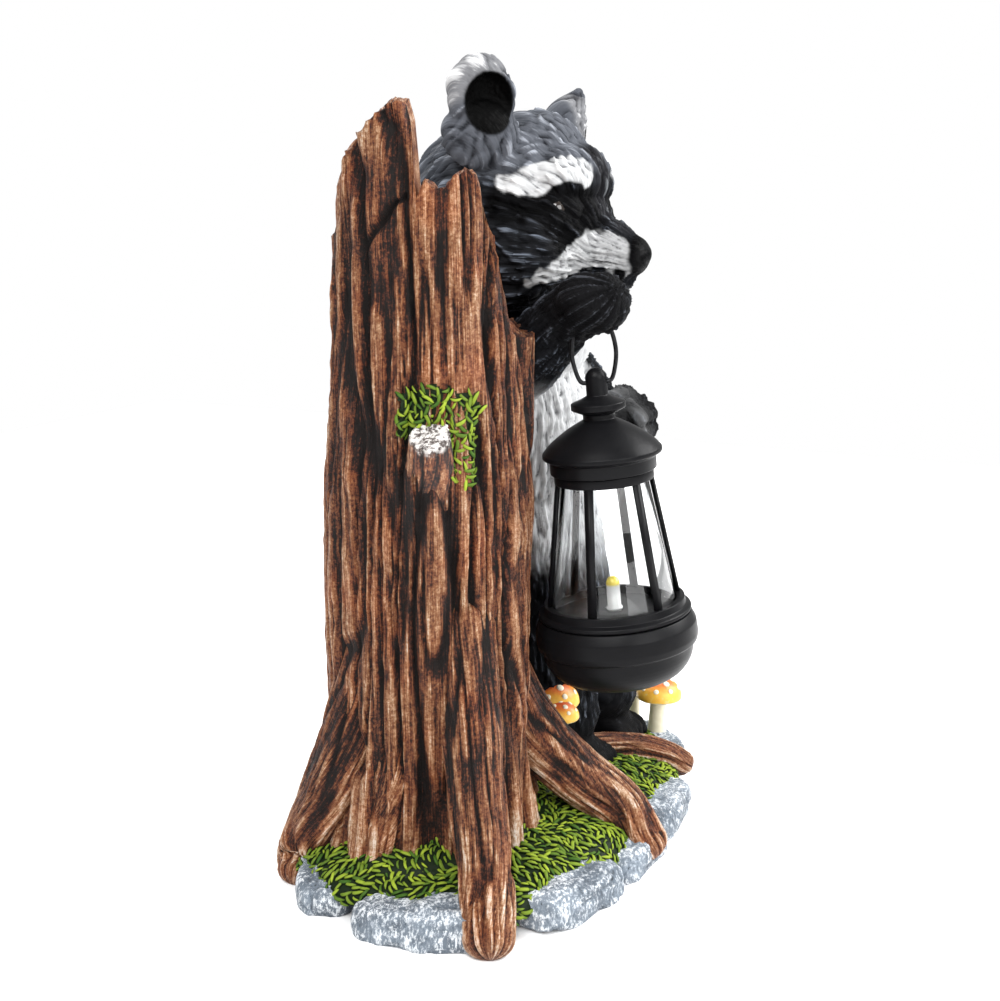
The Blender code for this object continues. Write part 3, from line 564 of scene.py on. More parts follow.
def bark_paint(tree):
    """(colour, height) of painted bark: black grooves, red-brown sides and tan ridges, broken by grain."""
    chosen = settings()
    carve, flow, spot = attribute(tree, "carve"), attribute(tree, "flow", "Vector"), object_spot(tree)
    wide = group_node(tree, strand_grain(), {"Flow": flow, "Across": 1.5, "Along": 0.035, "Patch": 0.05})
    thin = group_node(tree, strand_grain(), {"Flow": flow, "Across": 3.6, "Along": 0.10, "Patch": 0.30})
    speckle = noise(tree, spot, 900.0, 5.0, 0.75)
    height = maths(tree, "MULTIPLY", carve, 0.62)
    shares = (
        (wide.outputs["Strand"], 0.95), (thin.outputs["Strand"], 0.75), (speckle, 1.10),
        (thin.outputs["Patch"], 0.35),
    )
    for grain, share in shares:
        height = grained(tree, height, grain, share)
    level = put(tree, "ShaderNodeSeparateXYZ", {"Vector": spot}).outputs["Z"]
    root_ends = spread(tree, level, 0.055, 0.015, 0.0, 0.24)
    broken_top = spread(tree, level, 0.225, 0.270, 0.0, 0.10)
    height = maths(tree, "ADD", height, maths(tree, "ADD", root_ends, broken_top))
    stops = (
        (0.16, chosen.bark_dark), (0.27, (0.030, 0.009, 0.005)), (0.40, chosen.bark_mid),
        (0.58, (0.210, 0.088, 0.036)), (0.76, chosen.bark_light), (0.98, (0.62, 0.54, 0.47)),
    )
    patch = spread(tree, wide.outputs["Patch"], 0.42, 0.68, 0.0, 0.55)
    return mix(tree, patch, ramp(tree, height, stops), (1.0, 0.62, 0.40, 1.0), "MULTIPLY"), height


def bark_material():
    """Washed and dry-brushed bark, with the paint's own height as relief."""
    made, tree, shader = new_material("painted_bark", Specular_IOR_Level=0.25)
    colour, height = bark_paint(tree)
    link_in(tree, shader, "Base Color", colour)
    link_in(tree, shader, "Roughness", spread(tree, height, 0.2, 0.8, 0.60, 0.42))
    bump(tree, shader, height, 0.80, 0.0011)
    return made


def fur_material():
    """The coat in the colours that each point holds, dark between the locks and brushed on them."""
    made, tree, shader = new_material("painted_fur", Specular_IOR_Level=0.04)
    carve, flow = attribute(tree, "carve"), attribute(tree, "flow", "Vector")
    paint_colour = attribute(tree, "paint", "Color")
    brushed_colour = attribute(tree, "brushed", "Color")
    strands = group_node(tree, strand_grain(), {"Flow": flow, "Across": 3.0, "Along": 0.17, "Patch": 0.08})
    strand = strands.outputs["Strand"]
    dark = mix(tree, 1.0, paint_colour, (0.16, 0.16, 0.17, 1.0), "MULTIPLY")
    paint = group_node(
        tree,
        brushed_paint(),
        {
            "Color": paint_colour, "Wash": dark, "Brushed": brushed_colour, "Carve": carve,
            "Wash Depth": 0.52, "Brush Start": 0.56, "Brush Amount": 0.90, "Grain": strand,
        },
    )
    link_in(tree, shader, "Base Color", paint.outputs["Color"])
    link_in(tree, shader, "Roughness", attribute(tree, "gloss"))
    bump(tree, shader, strand, 0.75, 0.0007)
    return made


def stone_material():
    """Blue-grey stone, cloudy, with white brushed on its worn faces."""
    chosen = settings()
    made, tree, shader = new_material("painted_stone", Specular_IOR_Level=0.3)
    spot = object_spot(tree)
    carve = attribute(tree, "carve")
    speckle = noise(tree, scaled(tree, spot, (1.0, 1.0, 0.45)), 800.0, 5.0, 0.80)
    speckle = spread(tree, speckle, 0.34, 0.62)
    cloud = noise(tree, spot, 75.0, 3.0, 0.55)
    body = mix(tree, spread(tree, cloud, 0.36, 0.64), full(chosen.stone), (0.085, 0.105, 0.130, 1.0))
    paint = group_node(
        tree,
        brushed_paint(),
        {
            "Color": body, "Wash": (0.030, 0.035, 0.042, 1.0), "Brushed": (0.74, 0.77, 0.80, 1.0), "Carve": carve,
            "Wash Depth": 0.24, "Brush Start": 0.50, "Brush Amount": 0.85, "Grain": speckle,
        },
    )
    link_in(tree, shader, "Base Color", paint.outputs["Color"])
    link_in(tree, shader, "Roughness", spread(tree, speckle, 0.3, 0.7, 0.6, 0.85))
    bump(tree, shader, speckle, 0.5, 0.0008)
    return made


def moss_material():
    """Near-black green under strands of unlike yellow greens."""
    chosen = settings()
    made, tree, shader = new_material("painted_moss", Specular_IOR_Level=0.15)
    tip, shade = attribute(tree, "carve"), attribute(tree, "strand")
    light = mix(tree, shade, full(chosen.moss_light), (0.030, 0.078, 0.008, 1.0))
    colour = mix(tree, spread(tree, tip, 0.45, 1.0), full(chosen.moss_dark), light)
    link_in(tree, shader, "Base Color", colour)
    link_in(tree, shader, "Roughness", spread(tree, noise(tree, object_spot(tree), 600.0), 0.3, 0.7, 0.5, 0.8))
    return made


def mushroom_material():
    """Cream stem, and a cap that runs from yellow at the rim to red at the top."""
    made, tree, shader = new_material("painted_mushroom", Specular_IOR_Level=0.45, Roughness=0.42)
    zone = attribute(tree, "zone")
    grain = noise(tree, object_spot(tree), 500.0, 4.0)
    stops = (
        (0.0, (0.80, 0.76, 0.60)), (0.26, (0.62, 0.55, 0.38)), (0.34, (0.85, 0.50, 0.06)),
        (0.62, (0.72, 0.17, 0.03)), (1.0, (0.55, 0.045, 0.02)),
    )
    link_in(tree, shader, "Base Color", ramp(tree, grained(tree, zone, grain, 0.25), stops))
    bump(tree, shader, grain, 0.3, 0.0004)
    return made


def cream_material():
    made, tree, shader = new_material("cream_spots", Roughness=0.5)
    grain = noise(tree, object_spot(tree), 900.0, 3.0)
    link_in(tree, shader, "Base Color", mix(tree, grain, (0.88, 0.84, 0.70, 1.0), (0.78, 0.70, 0.50, 1.0)))
    return made


def plastic_material():
    made, tree, shader = new_material("satin_black_plastic", Specular_IOR_Level=0.09)
    spot = object_spot(tree)
    fine = noise(tree, spot, 2600.0, 2.0)
    smear = noise(tree, spot, 90.0, 3.0)
    colour = settings().plastic
    link_in(tree, shader, "Base Color", mix(tree, smear, full(colour), full([value * 1.6 for value in colour])))
    link_in(tree, shader, "Roughness", spread(tree, smear, 0.3, 0.7, 0.30, 0.42))
    bump(tree, shader, fine, 0.18, 0.0002)
    return made


def clear_material():
    made, tree, shader = new_material(
        "clear_shade", Base_Color=(0.97, 0.98, 0.985, 1.0), Transmission_Weight=1.0, IOR=1.42, Roughness=0.02
    )
    bump(tree, shader, noise(tree, object_spot(tree), 60.0, 1.0), 0.05, 0.0004)
    return made


def wire_material():
    made, tree, shader = new_material("blackened_wire", Metallic=0.85)
    grain = noise(tree, object_spot(tree), 900.0, 3.0)
    link_in(tree, shader, "Base Color", mix(tree, grain, (0.006, 0.006, 0.007, 1.0), (0.025, 0.025, 0.027, 1.0)))
    link_in(tree, shader, "Roughness", spread(tree, grain, 0.3, 0.7, 0.28, 0.45))
    return made


def lamp_material():
    made, tree, shader = new_material("lamp_lens", Roughness=0.12)
    height = attribute(tree, "zone")
    colour = mix(tree, spread(tree, height, 0.70, 0.80), (0.72, 0.72, 0.70, 1.0), (0.90, 0.72, 0.10, 1.0))
    link_in(tree, shader, "Base Color", colour)
    return made


def gloss_black():
    made, tree, shader = new_material("gloss_black", Roughness=0.08, Coat_Weight=0.6)
    glow = noise(tree, object_spot(tree), 500.0, 2.0)
    link_in(tree, shader, "Base Color", mix(tree, glow, (0.004, 0.003, 0.003, 1.0), (0.022, 0.014, 0.009, 1.0)))
    return made


# Forms


# Broken edge of the trunk, seen from the front: a tall spike, two shards and steps down to the right
EDGE_ACROSS = (-36, -31.8, -27.4, -25.0, -19.2, -14.0, -9.5, -5.6, -3.8, -2.9, -2.4, -0.9, 0.8, 3.1, 4.6, 7.1)
EDGE_ACROSS += (10.1, 14.0, 16.8, 18.1, 18.9, 19.5, 20.7, 22.8, 23.4, 24.6, 26.9, 27.6, 29.2, 33.0, 36.0)
EDGE_HEIGHT = (240, 247, 257, 263, 269.5, 275.5, 279, 278, 272, 261, 245, 249.5, 252, 250.5, 249, 249.5)
EDGE_HEIGHT += (253.5, 255.5, 254.5, 249, 242, 236, 235.5, 233.8, 228, 219.5, 212, 205.5, 202, 198.5, 196)


# The spike ends here, and the shards begin
SPIKE_SIDE = -2.6


def trunk_top(side, back):
    """Height of the broken top over the plan."""
    edge = np.interp(side, EDGE_ACROSS, EDGE_HEIGHT)
    spike = edge - 0.9 * np.maximum(0.0, back + 6.0) - 0.10 * np.maximum(0.0, -back - 8.0)
    shards = edge - 1.4 * np.maximum(0.0, back + 16.0)
    rest = 227.0 - 0.75 * np.maximum(0.0, side + 4.0)
    top = np.maximum(np.where(side < SPIKE_SIDE, spike, shards), rest)
    jag = soft_noise(plane_spots(side / 2.6, back / 2.6), 11)
    fine = soft_noise(plane_spots(side / 1.1, back / 1.1), 12)
    return top + 2.2 * (jag - 0.5) + 1.2 * (fine - 0.5)


def bark(angles, height):
    """(height, carve) of the long bark ridges around the trunk."""
    around = np.mod(angles, 2 * math.pi) * TRUNK_RADIUS
    drift = 8.0 * soft_noise(plane_spots(around / 20.0, height / 50.0), 3)
    broad = step_up(ridges(plane_spots((around + drift) / 7.0, height / 105.0), 5), 0.08, 0.70)
    middle = step_up(ridges(plane_spots((around + drift) / 3.6, height / 60.0, 7.0), 6), 0.08, 0.85)
    fine = ridges(plane_spots((around + 0.8 * drift) / 1.4, height / 34.0, 9.0), 7)
    chip = soft_noise(plane_spots((around + drift) / 4.0, height / 11.0, 2.0), 9)
    knob = soft_noise(plane_spots(around / 2.2, height / 3.5, 5.0), 13)
    relief = 3.8 * (broad - 0.75) + 1.9 * (middle - 0.7) + 0.7 * (fine - 0.5) + 0.9 * (chip - 0.5)
    relief = relief + 0.5 * (knob - 0.5)
    across = around - KNOT_ANGLE * TRUNK_RADIUS
    rib = step_up(height, 70.0, 150.0) * (1.0 - step_up(height, 157.0, 163.0))
    relief = relief + 6.5 * np.exp(-(((across - 0.8) / 6.5) ** 2)) * rib
    crack = np.abs(across - (-12.5 + (height - 240.0) * 0.92) + 9.0 * (chip - 0.5)) * 0.6
    inside = step_up(height, 229.0, 233.0) * (1.0 - step_up(height, 246.0, 249.0))
    cut = np.exp(-((crack / 1.3) ** 2)) * inside
    carve = broad * (0.20 + 0.80 * middle) * (0.42 + 0.58 * fine) + 0.35 * (chip - 0.5) + 0.15 * (knob - 0.5)
    return relief - 3.2 * cut, np.clip(carve, 0.0, 1.0) * (1.0 - cut)


TRUNK_FOOT = 2.0


def trunk_data(sides):
    """The stump as loft data: up its flared and ridged side, then in over the broken top."""
    angles = np.linspace(0.0, 2 * math.pi, sides, endpoint=False)
    heading = np.outer(np.cos(angles), (1.0, 0.0, 0.0)) + np.outer(np.sin(angles), (0.0, 1.0, 0.0))
    plan_reach = TRUNK_RADIUS - 2.0
    top = trunk_top(heading @ SIDE * plan_reach, heading @ BACK * plan_reach)
    rings, carve, flow = [], [], []
    for share in np.linspace(0.0, 1.0, 280):
        height = TRUNK_FOOT + (top - TRUNK_FOOT) * share
        flare = 9.0 * np.clip(1.0 - height / 62.0, 0.0, 1.0) ** 2.2
        taper = 3.2 * np.clip((height - 150.0) / 110.0, 0.0, 1.0)
        lean = 1.3 * np.sin(angles * 3.0 + height / 55.0) + 0.9 * np.sin(angles * 5.0 - height / 35.0)
        relief, shade = bark(angles, height)
        radius = TRUNK_RADIUS + flare - taper + lean + relief
        rings.append(TRUNK_CENTRE + heading * radius[:, None] + np.outer(height, (0.0, 0.0, 1.0)))
        carve.append(shade)
        flow.append(plane_spots(angles * TRUNK_RADIUS, height))
    last = radius
    for share in np.linspace(0.97, 0.02, 40):
        plan = heading * (last * share)[:, None]
        height = trunk_top(plan @ SIDE, plan @ BACK)
        rings.append(TRUNK_CENTRE + plan + np.outer(height, (0.0, 0.0, 1.0)))
        across = plan @ SIDE
        rough = ridges(plane_spots(across / 2.2, plan @ BACK / 2.2, 4.0), 14)
        carve.append(0.35 + 0.5 * rough)
        flow.append(plane_spots(across, height))
    return loft_data(rings, (carve, flow))


# Each root as (x, y, z, radius) stops
ROOT_RUNS = (
    ((-59, -15, 104, 9), (-66, -20, 68, 9.6), (-74, -26, 42, 9.4), (-84, -34, 19, 9), (-94, -40, 5, 8.2)),
    ((-35, -9, 84, 13), (-28, -21, 57, 12.2), (-17, -38, 35, 10.4), (-9, -54, 21, 9.2), (-7, -64, 6, 8.6)),
    ((-55, 17, 100, 13), (-62, 26, 62, 13), (-68, 37, 30, 11.5), (-71, 46, 10, 10), (-76, 46, 3, 8)),
    ((-60, 6, 84, 9), (-68, 8, 46, 9), (-74, 10, 24, 7), (-77, 11, 16, 5)),
    ((-40, 22, 90, 12), (-39, 36, 55, 12), (-36, 48, 28, 11), (-34, 59, 9, 9)),
    ((2, -14, 20, 6), (28, -20, 21, 6.5), (44, -36, 21, 5.8), (54, -50, 17, 5.2), (60, -58, 11, 4.8)),
)


def root_relief(angles, along, radius):
    """(height, carve) of the ridges that run along a root."""
    row = angles * 0.0 + along
    wave = np.cos(angles) * max(radius, 7.0)
    lift = np.sin(angles) * max(radius, 7.0)
    broad = step_up(ridges(np.stack((wave / 4.6, lift / 4.6, row / 60.0), axis=1), 8), 0.0, 0.6)
    middle = ridges(np.stack((wave / 2.2, lift / 2.2, row / 34.0), axis=1), 10)
    fine = ridges(np.stack((wave / 1.0, lift / 1.0, row / 20.0), axis=1), 12)
    carve = np.clip(broad * (0.25 + 0.75 * middle) * (0.45 + 0.55 * fine), 0.0, 1.0)
    return 0.13 * radius * (broad - 0.7) + 0.9 * (middle - 0.5) + 0.4 * (fine - 0.5), carve


def above_ground(made):
    """Brings every point below the ground up to it, so that the underside is flat."""
    points = mesh_points(made)
    points[:, 2] = np.maximum(points[:, 2], 0.0)
    made.data.vertices.foreach_set("co", points.astype(np.float32).ravel())
    made.data.update()


def make_stump():
    """The stump's ridged side and broken top."""
    made = piece_of("stump_bark", [trunk_data(settings().trunk_columns)])
    finish_piece(made, bark_material(), ["statue_casting"])


def make_roots():
    """The roots, and the cut knot on the stump's side."""
    parts = [limb_data(run, steps=150, sides=96, relief=root_relief) for run in ROOT_RUNS]
    made = piece_of("root_bark", parts)
    above_ground(made)
    finish_piece(made, bpy.data.materials["painted_bark"], ["statue_casting"])
    finish_piece(knot_cut(), knot_material(), ["statue_casting"])


# The stub of a branch, as (x, y, z, radius) stops
STUB = (
    (-66, -6, 146, 9), (-71, -8, 156, 8.4), (-75, -10, 164, 7.2), (-78.2, -11.5, 170.5, 6.4), (-80, -12.4, 175, 6.4),
)


def knot_cut():
    """The stub, with its end cut across, hollowed a little and marked for the paler paint."""
    cut = piece_of("knot_cut", [limb_data(STUB, steps=70, sides=80, relief=knot_relief)])
    points = mesh_points(cut) / MM
    reach = (points - KNOT_MIDDLE) @ KNOT_FACING
    rough = soft_noise(points / 1.3, 71)
    inside = np.linalg.norm(points - KNOT_MIDDLE, axis=1)
    over = np.maximum(0.0, reach + 0.9 * (rough - 0.5) + 0.9 * (1.0 - step_up(inside, 2.0, 6.0)))
    points -= np.outer(over, KNOT_FACING)
    cut.data.vertices.foreach_set("co", (points * MM).astype(np.float32).ravel())
    set_values(cut, "end", step_up(reach + 1.6 * (rough - 0.5), -3.2, 0.0))
    cut.data.update()
    return cut


def knot_relief(angles, along, radius):
    relief, carve = root_relief(angles, along, radius)
    return relief * 0.7, carve


def knot_material():
    """Bark on the stub's side and cracked, whitened wood on its cut end."""
    made, tree, shader = new_material("cut_knot", Roughness=0.7)
    colour, height = bark_paint(tree)
    crack = noise(tree, object_spot(tree), 420.0, 5.0, 0.8)
    pale = mix(tree, spread(tree, crack, 0.44, 0.54), (0.050, 0.036, 0.032, 1.0), (0.66, 0.63, 0.60, 1.0))
    link_in(tree, shader, "Base Color", mix(tree, attribute(tree, "end"), colour, pale))
    bump(tree, shader, maths(tree, "ADD", crack, height), 0.6, 0.0008)
    return made


def ear_parts(centre, facing, tilt):
    """A rounded cup with a thick rim, open toward facing."""
    cup = joined("ear_cup", [lump((0, 0, 0), (12.8, 7.5, 16.0), fine=5)])
    hollow = joined("ear_hollow", [lump(EAR_HOLLOW_MIDDLE, EAR_HOLLOW_REACH, fine=5)])
    place = Matrix.Translation(Vector(centre) * MM) @ Matrix.Rotation(facing, 4, "Z") @ Matrix.Rotation(tilt, 4, "Y")
    for made in (cup, hollow):
        made.data.transform(place)
    tool = cup.modifiers.new("Cup", "BOOLEAN")
    tool.operation = "DIFFERENCE"
    tool.object = hollow
    apply_modifiers(cup)
    points = mesh_points(cup) / MM
    faces = [tuple(polygon.vertices) for polygon in cup.data.polygons]
    for made in (cup, hollow):
        bpy.data.objects.remove(made)
    return points, faces


def head_forms():
    """Overlapping forms of skull, snout, jaw, cheeks, brows and ears."""
    snout = ((34, -8, 230, 20), (34, -24, 228, 14), (33.5, -35, 225.5, 10), (33, -40.5, 224.5, 7.8))
    jaw = ((34, -12, 216, 13.5), (34, -26, 216.5, 9.5), (33, -36, 218, 6.6))
    ear_tip = ((67, 5.5, 267, 11.5), (70.2, 3.2, 278, 9), (73.5, 0.3, 285, 4.5), (75, -0.7, 288, 2))
    return [
        lump((36, 14, 243), (36, 39, 35)),
        lump((34, -7, 233), (31, 23, 24)),
        lump((36, -13, 253), (26, 15, 14)),
        lump((38, 4, 258), (27, 23, 21)),
        lump((10, 2, 224), (19, 25, 20), turn=(0, 0.35, 0)),
        lump((60, 2, 224), (19, 25, 20), turn=(0, -0.35, 0)),
        limb_data(snout, sides=24),
        limb_data(jaw),
        limb_data(ear_tip),
        lump(NOSE_TIP + (0, 3.0, 0.8), (6.0, 5.0, 5.0)),
        lump((17.3, -12.2, 242), (6.6, 6.6, 6.2)),
        lump((52.7, -12.2, 242), (6.6, 6.6, 6.2)),
        lump((5, 10.5, 269), (15, 8.5, 13), turn=(0, 0, math.radians(-48))),
        ear_parts(*EAR_RIGHT),
        ear_parts(*EAR_LEFT),
    ]


RIGHT_ARM = ((16, 10, 180, 18), (5, -2, 184, 16), (-2, -14, 190, 13.5), (-6, -28, 203, 11), (-9, -38, 209, 11))
LEFT_ARM = ((60, 8, 180, 17), (71, -3, 165, 14.5), (72, -12, 155, 12.5), (65, -22, 157, 11.5))
TAIL = ((58, 34, 40, 14), (78, 40, 26, 15), (92, 34, 24, 13.5), (97, 20, 24, 10), (97, 8, 23, 5))


def body_forms():
    """Overlapping forms of trunk, legs, feet, arms, hands and tail."""
    shapes = [
        lump((38, 9, 86), (38, 37, 62)),
        lump((38, 7, 150), (32, 29, 42)),
        lump((38, 9, 197), (31, 30, 30)),
        lump((20, 3, 48), (23, 31, 36)),
        lump((60, 3, 48), (23, 31, 36)),
        lump((25, -12, 42), (14, 20, 21)),
        lump((60, -14, 42), (15, 22, 22)),
        lump((38, 26, 60), (36, 30, 44)),
        limb_data(((37, 20, 60, 30), (37, 20, 110, 28), (37, 19, 155, 25), (37, 18, 200, 27), (36, 18, 225, 26))),
        lump((25, -13, 24), (13.5, 21, 12)),
        lump((61, -13, 24), (13.5, 21, 12)),
        limb_data(RIGHT_ARM),
        limb_data(LEFT_ARM),
        lump((62, -26.5, 158), (11, 10, 13)),
        lump(HAND + (1.5, -3.2, 1.0), (10.6, 10.6, 10.8)),
        lump(HAND + (-1.5, 1.5, 2.0), (11.0, 11.0, 9.5)),
        limb_data(TAIL),
    ]
    for foot in (25.0, 61.0):
        for toe in range(5):
            spread_out = (toe - 2) * 5.0
            line = ((foot + spread_out * 0.8, -24, 25, 4.2), (foot + spread_out * 0.95, -33, 22, 3.4))
            shapes.append(limb_data((*line, (foot + spread_out, -37, 18, 1.6)), steps=8, sides=12))
    for finger in range(4):
        side = 55.0 + finger * 4.6
        line = ((side, -31.5, 164, 3.4), (side, -37.5, 158, 3.2), (side, -37.5, 150, 2.2))
        shapes.append(limb_data(line, steps=8, sides=12))
    return shapes


def fur_flow(spots):
    """(across, along) of the fur at each spot: back from the nose, down the body and along each limb."""
    back = spots - NOSE_TIP
    reach = np.linalg.norm(back, axis=1)
    around = np.arctan2(back[:, 0], back[:, 2] + 6.0)
    head = np.stack((around * 26.0, reach), axis=1)
    turn = np.arctan2(spots[:, 0] - BODY_MIDDLE, -(spots[:, 1] - 9.0))
    body = np.stack((turn * 33.0, -spots[:, 2]), axis=1)
    share = step_up(spots[:, 2], 198.0, 208.0)[:, None]
    flow = share * head + (1.0 - share) * body
    for line in (RIGHT_ARM, LEFT_ARM, TAIL):
        stops = np.array(line, float)
        distance, run, angle = along_line(spots, curve_points(stops, 14)[:, :3])
        reach = stops[:, 3].mean()
        inside = (distance < reach * 1.25) & (run > reach * 0.9)
        flow = np.where(inside[:, None], np.stack((angle * reach, run), axis=1), flow)
    return flow


def bare_skin(spots):
    """1 on nose, hands and feet, which have no locks."""
    low = step_up(40.0 - spots[:, 2], 0.0, 8.0) * step_up(-14.0 - spots[:, 1], 0.0, 5.0)
    eyes = near(spots, (17, -14, 242), 6.5, 4) + near(spots, (53, -14, 242), 6.5, 4)
    soft = near(spots, NOSE_TIP, 12.0, 3) + 0.45 * near(spots, HAND, 15.0, 4)
    soft = soft + 0.6 * near(spots, (62, -32, 157), 13.0, 4)
    return np.clip(soft + low + eyes, 0.0, 1.0)


def ear_local(spots, ear):
    """The spots as an ear sees them, from its own middle and along its own axes."""
    centre, facing, tilt = ear
    place = np.array(Matrix.Rotation(facing, 3, "Z") @ Matrix.Rotation(tilt, 3, "Y"))
    return (spots - np.asarray(centre, float)) @ place


def ear_inside(spots):
    """1 inside the hollow of either ear."""
    inner = np.zeros(len(spots))
    for ear in (EAR_RIGHT, EAR_LEFT):
        local = (ear_local(spots, ear) - EAR_HOLLOW_MIDDLE) / EAR_BLACK_REACH
        inner = np.maximum(inner, 1.0 - step_up(np.linalg.norm(local, axis=1), 0.96, 1.08))
    return inner


def ear_rim(spots):
    """1 on the front and top of either ear's rim."""
    rim = np.zeros(len(spots))
    for ear in (EAR_RIGHT, EAR_LEFT):
        local = ear_local(spots, ear)
        close = np.linalg.norm(local, axis=1) < 19.0
        front = step_up(-local[:, 1], -3.0, 0.5)
        rim = np.maximum(rim, front * step_up(local[:, 2] - 0.5 * local[:, 0], 1.0, 6.0) * close)
    return rim


def mirrored(points):
    return [(2 * FACE_MIDDLE - x, *rest) for x, *rest in points]


def marked(spots, stops, edge):
    """1 on a line of round marks, (x, y, z, radius) each, and on the same line of the face's other side."""
    share = np.zeros(len(spots))
    for line in (stops, mirrored(stops)):
        for mark in curve_points(line, 24):
            distance = np.linalg.norm(spots - mark[:3], axis=1)
            share = np.maximum(share, 1.0 - step_up(distance + edge, mark[3] - 0.6, mark[3] + 0.6))
    return share


# Marks on the face's right side as (x, y, z, radius), and the lines of the mask and the dark cheek
BROW = (
    (3.5, 0.4, 252, 3.0), (5.9, -5.4, 251.3, 4.3), (9.6, -10.2, 252.7, 5.8), (11.2, -15.9, 256.3, 5.6),
    (15.2, -20.6, 257.4, 5.0), (20.5, -24.5, 256.4, 5.0), (22.3, -25.8, 253.1, 3.2),
)
MASK = ((3, -1, 243), (9, -12, 243), (15, -19, 242), (23, -25, 241))
CHEEK = ((16, -19, 238), (13, -15, 229), (15, -11, 216))
MUZZLE = (
    (-2.6, -13.4, 215.5, 1.9), (2.4, -20.3, 219.8, 3.2), (16.7, -24, 223.9, 6.5), (20.3, -30.6, 227.2, 7.6),
    (22.3, -35.8, 226.9, 7.0), (24, -38, 221, 6.0),
)
MOUTH_CORNER = ((26.4, -37.3, 217.8, 2.6), (25, -36, 217.2, 2.2))


def fur_paint(spots):
    """(paint, brushed) colours of the raccoon at each spot."""
    chosen = settings()
    dark, grey, pale = (np.array(value) for value in (chosen.fur_dark, chosen.fur_grey, chosen.fur_pale))
    ink = np.array((0.0012, 0.0012, 0.0015))
    paint = np.tile(dark, (len(spots), 1))
    brushed = np.tile(grey, (len(spots), 1))

    def cover(share, colour, top=None):
        nonlocal paint, brushed
        share = np.clip(share, 0.0, 1.0)[:, None]
        paint = paint * (1 - share) + np.asarray(colour) * share
        brushed = brushed * (1 - share) + np.asarray(colour if top is None else top) * share

    def cover_line(line, low, high, colour, top):
        for stops in (line, mirrored(line)):
            distance = along_line(spots, curve_points(stops, 12))[0]
            cover(1.0 - step_up(distance + edge, low, high), colour, top)

    edge = 2.4 * (soft_noise(spots / 2.4, 31) - 0.5)
    front = step_up(-(spots[:, 1]) + edge, 2.0, 10.0)
    belly_width = 27.0 - 0.0006 * (spots[:, 2] - 125.0) ** 2
    middle = 1.0 - step_up(np.abs(spots[:, 0] - 36.0) + edge, belly_width - 4.0, belly_width + 3.0)
    belly = front * middle * step_up(spots[:, 2], 96.0, 118.0) * (1.0 - step_up(spots[:, 2] + edge, 206.0, 214.0))
    side_front = step_up(-(spots[:, 1]), -16.0, 2.0) * step_up(spots[:, 2], 98.0, 120.0)
    flank = side_front * (1.0 - step_up(spots[:, 2], 168.0, 182.0)) * step_up(40.0 - spots[:, 0], 0.0, 8.0)
    cover(np.maximum(belly, flank), pale * 0.66, pale)
    crown = step_up(spots[:, 2] + edge, 250.0, 262.0)
    cover(crown * 0.9, (0.080, 0.086, 0.100), (0.35, 0.37, 0.41))
    nape = near(spots, (12, 44, 238), 34.0, 4)
    cover(nape * 0.6, (0.045, 0.050, 0.060), (0.30, 0.33, 0.38))
    cover_line(CHEEK, 9.0, 15.0, ink, (0.095, 0.105, 0.125))
    cover_line(MASK, 7.0, 10.5, ink, (0.020, 0.021, 0.025))
    cover(marked(spots, MUZZLE, edge), pale * 0.45, (0.88, 0.88, 0.88))
    cover(marked(spots, BROW, 0.7 * edge), pale * 0.55, (0.90, 0.90, 0.90))
    bridge = 1.0 - step_up(np.abs(spots[:, 0] - 34.0) + 0.5 * edge, 3.0, 8.0)
    bridge *= step_up(spots[:, 2] + 0.35 * spots[:, 1], 217.5, 221.5) * step_up(-spots[:, 1], 16.0, 22.0)
    cover(bridge, (0.012, 0.012, 0.014), (0.16, 0.17, 0.18))
    tip = np.linalg.norm(spots - (NOSE_TIP + (0, 1.5, 0.3)), axis=1)
    cover(1.0 - step_up(tip + 0.4 * edge, 7.6, 8.8), ink, (0.008, 0.008, 0.009))
    cover(marked(spots, MOUTH_CORNER, 0.3 * edge), ink, (0.012, 0.012, 0.013))
    rim = ear_rim(spots)
    cover(rim, (0.140, 0.142, 0.150), (0.95, 0.95, 0.95))
    cover(ear_inside(spots), (0.0005, 0.0005, 0.0005), (0.001, 0.001, 0.001))
    hands = near(spots, HAND, 20.0, 6) + near(spots, (62, -30, 157), 18.0, 6)
    low = step_up(40.0 - spots[:, 2], 0.0, 8.0) * step_up(-10.0 - spots[:, 1], 0.0, 6.0)
    cover(np.clip(hands + low, 0.0, 1.0), (0.0045, 0.0045, 0.005), (0.140, 0.150, 0.175))
    distance, run, _ = along_line(spots, curve_points(np.array(TAIL, float), 14)[:, :3])
    rings = (distance < 18.0) * step_up(run, 8.0, 12.0) * step_up(np.sin(run / 3.6 + edge * 0.2), -0.2, 0.3)
    cover(rings, pale * 0.35, pale * 0.7)
    return np.clip(paint, 0.0, 1.0), np.clip(brushed, 0.0, 1.0)


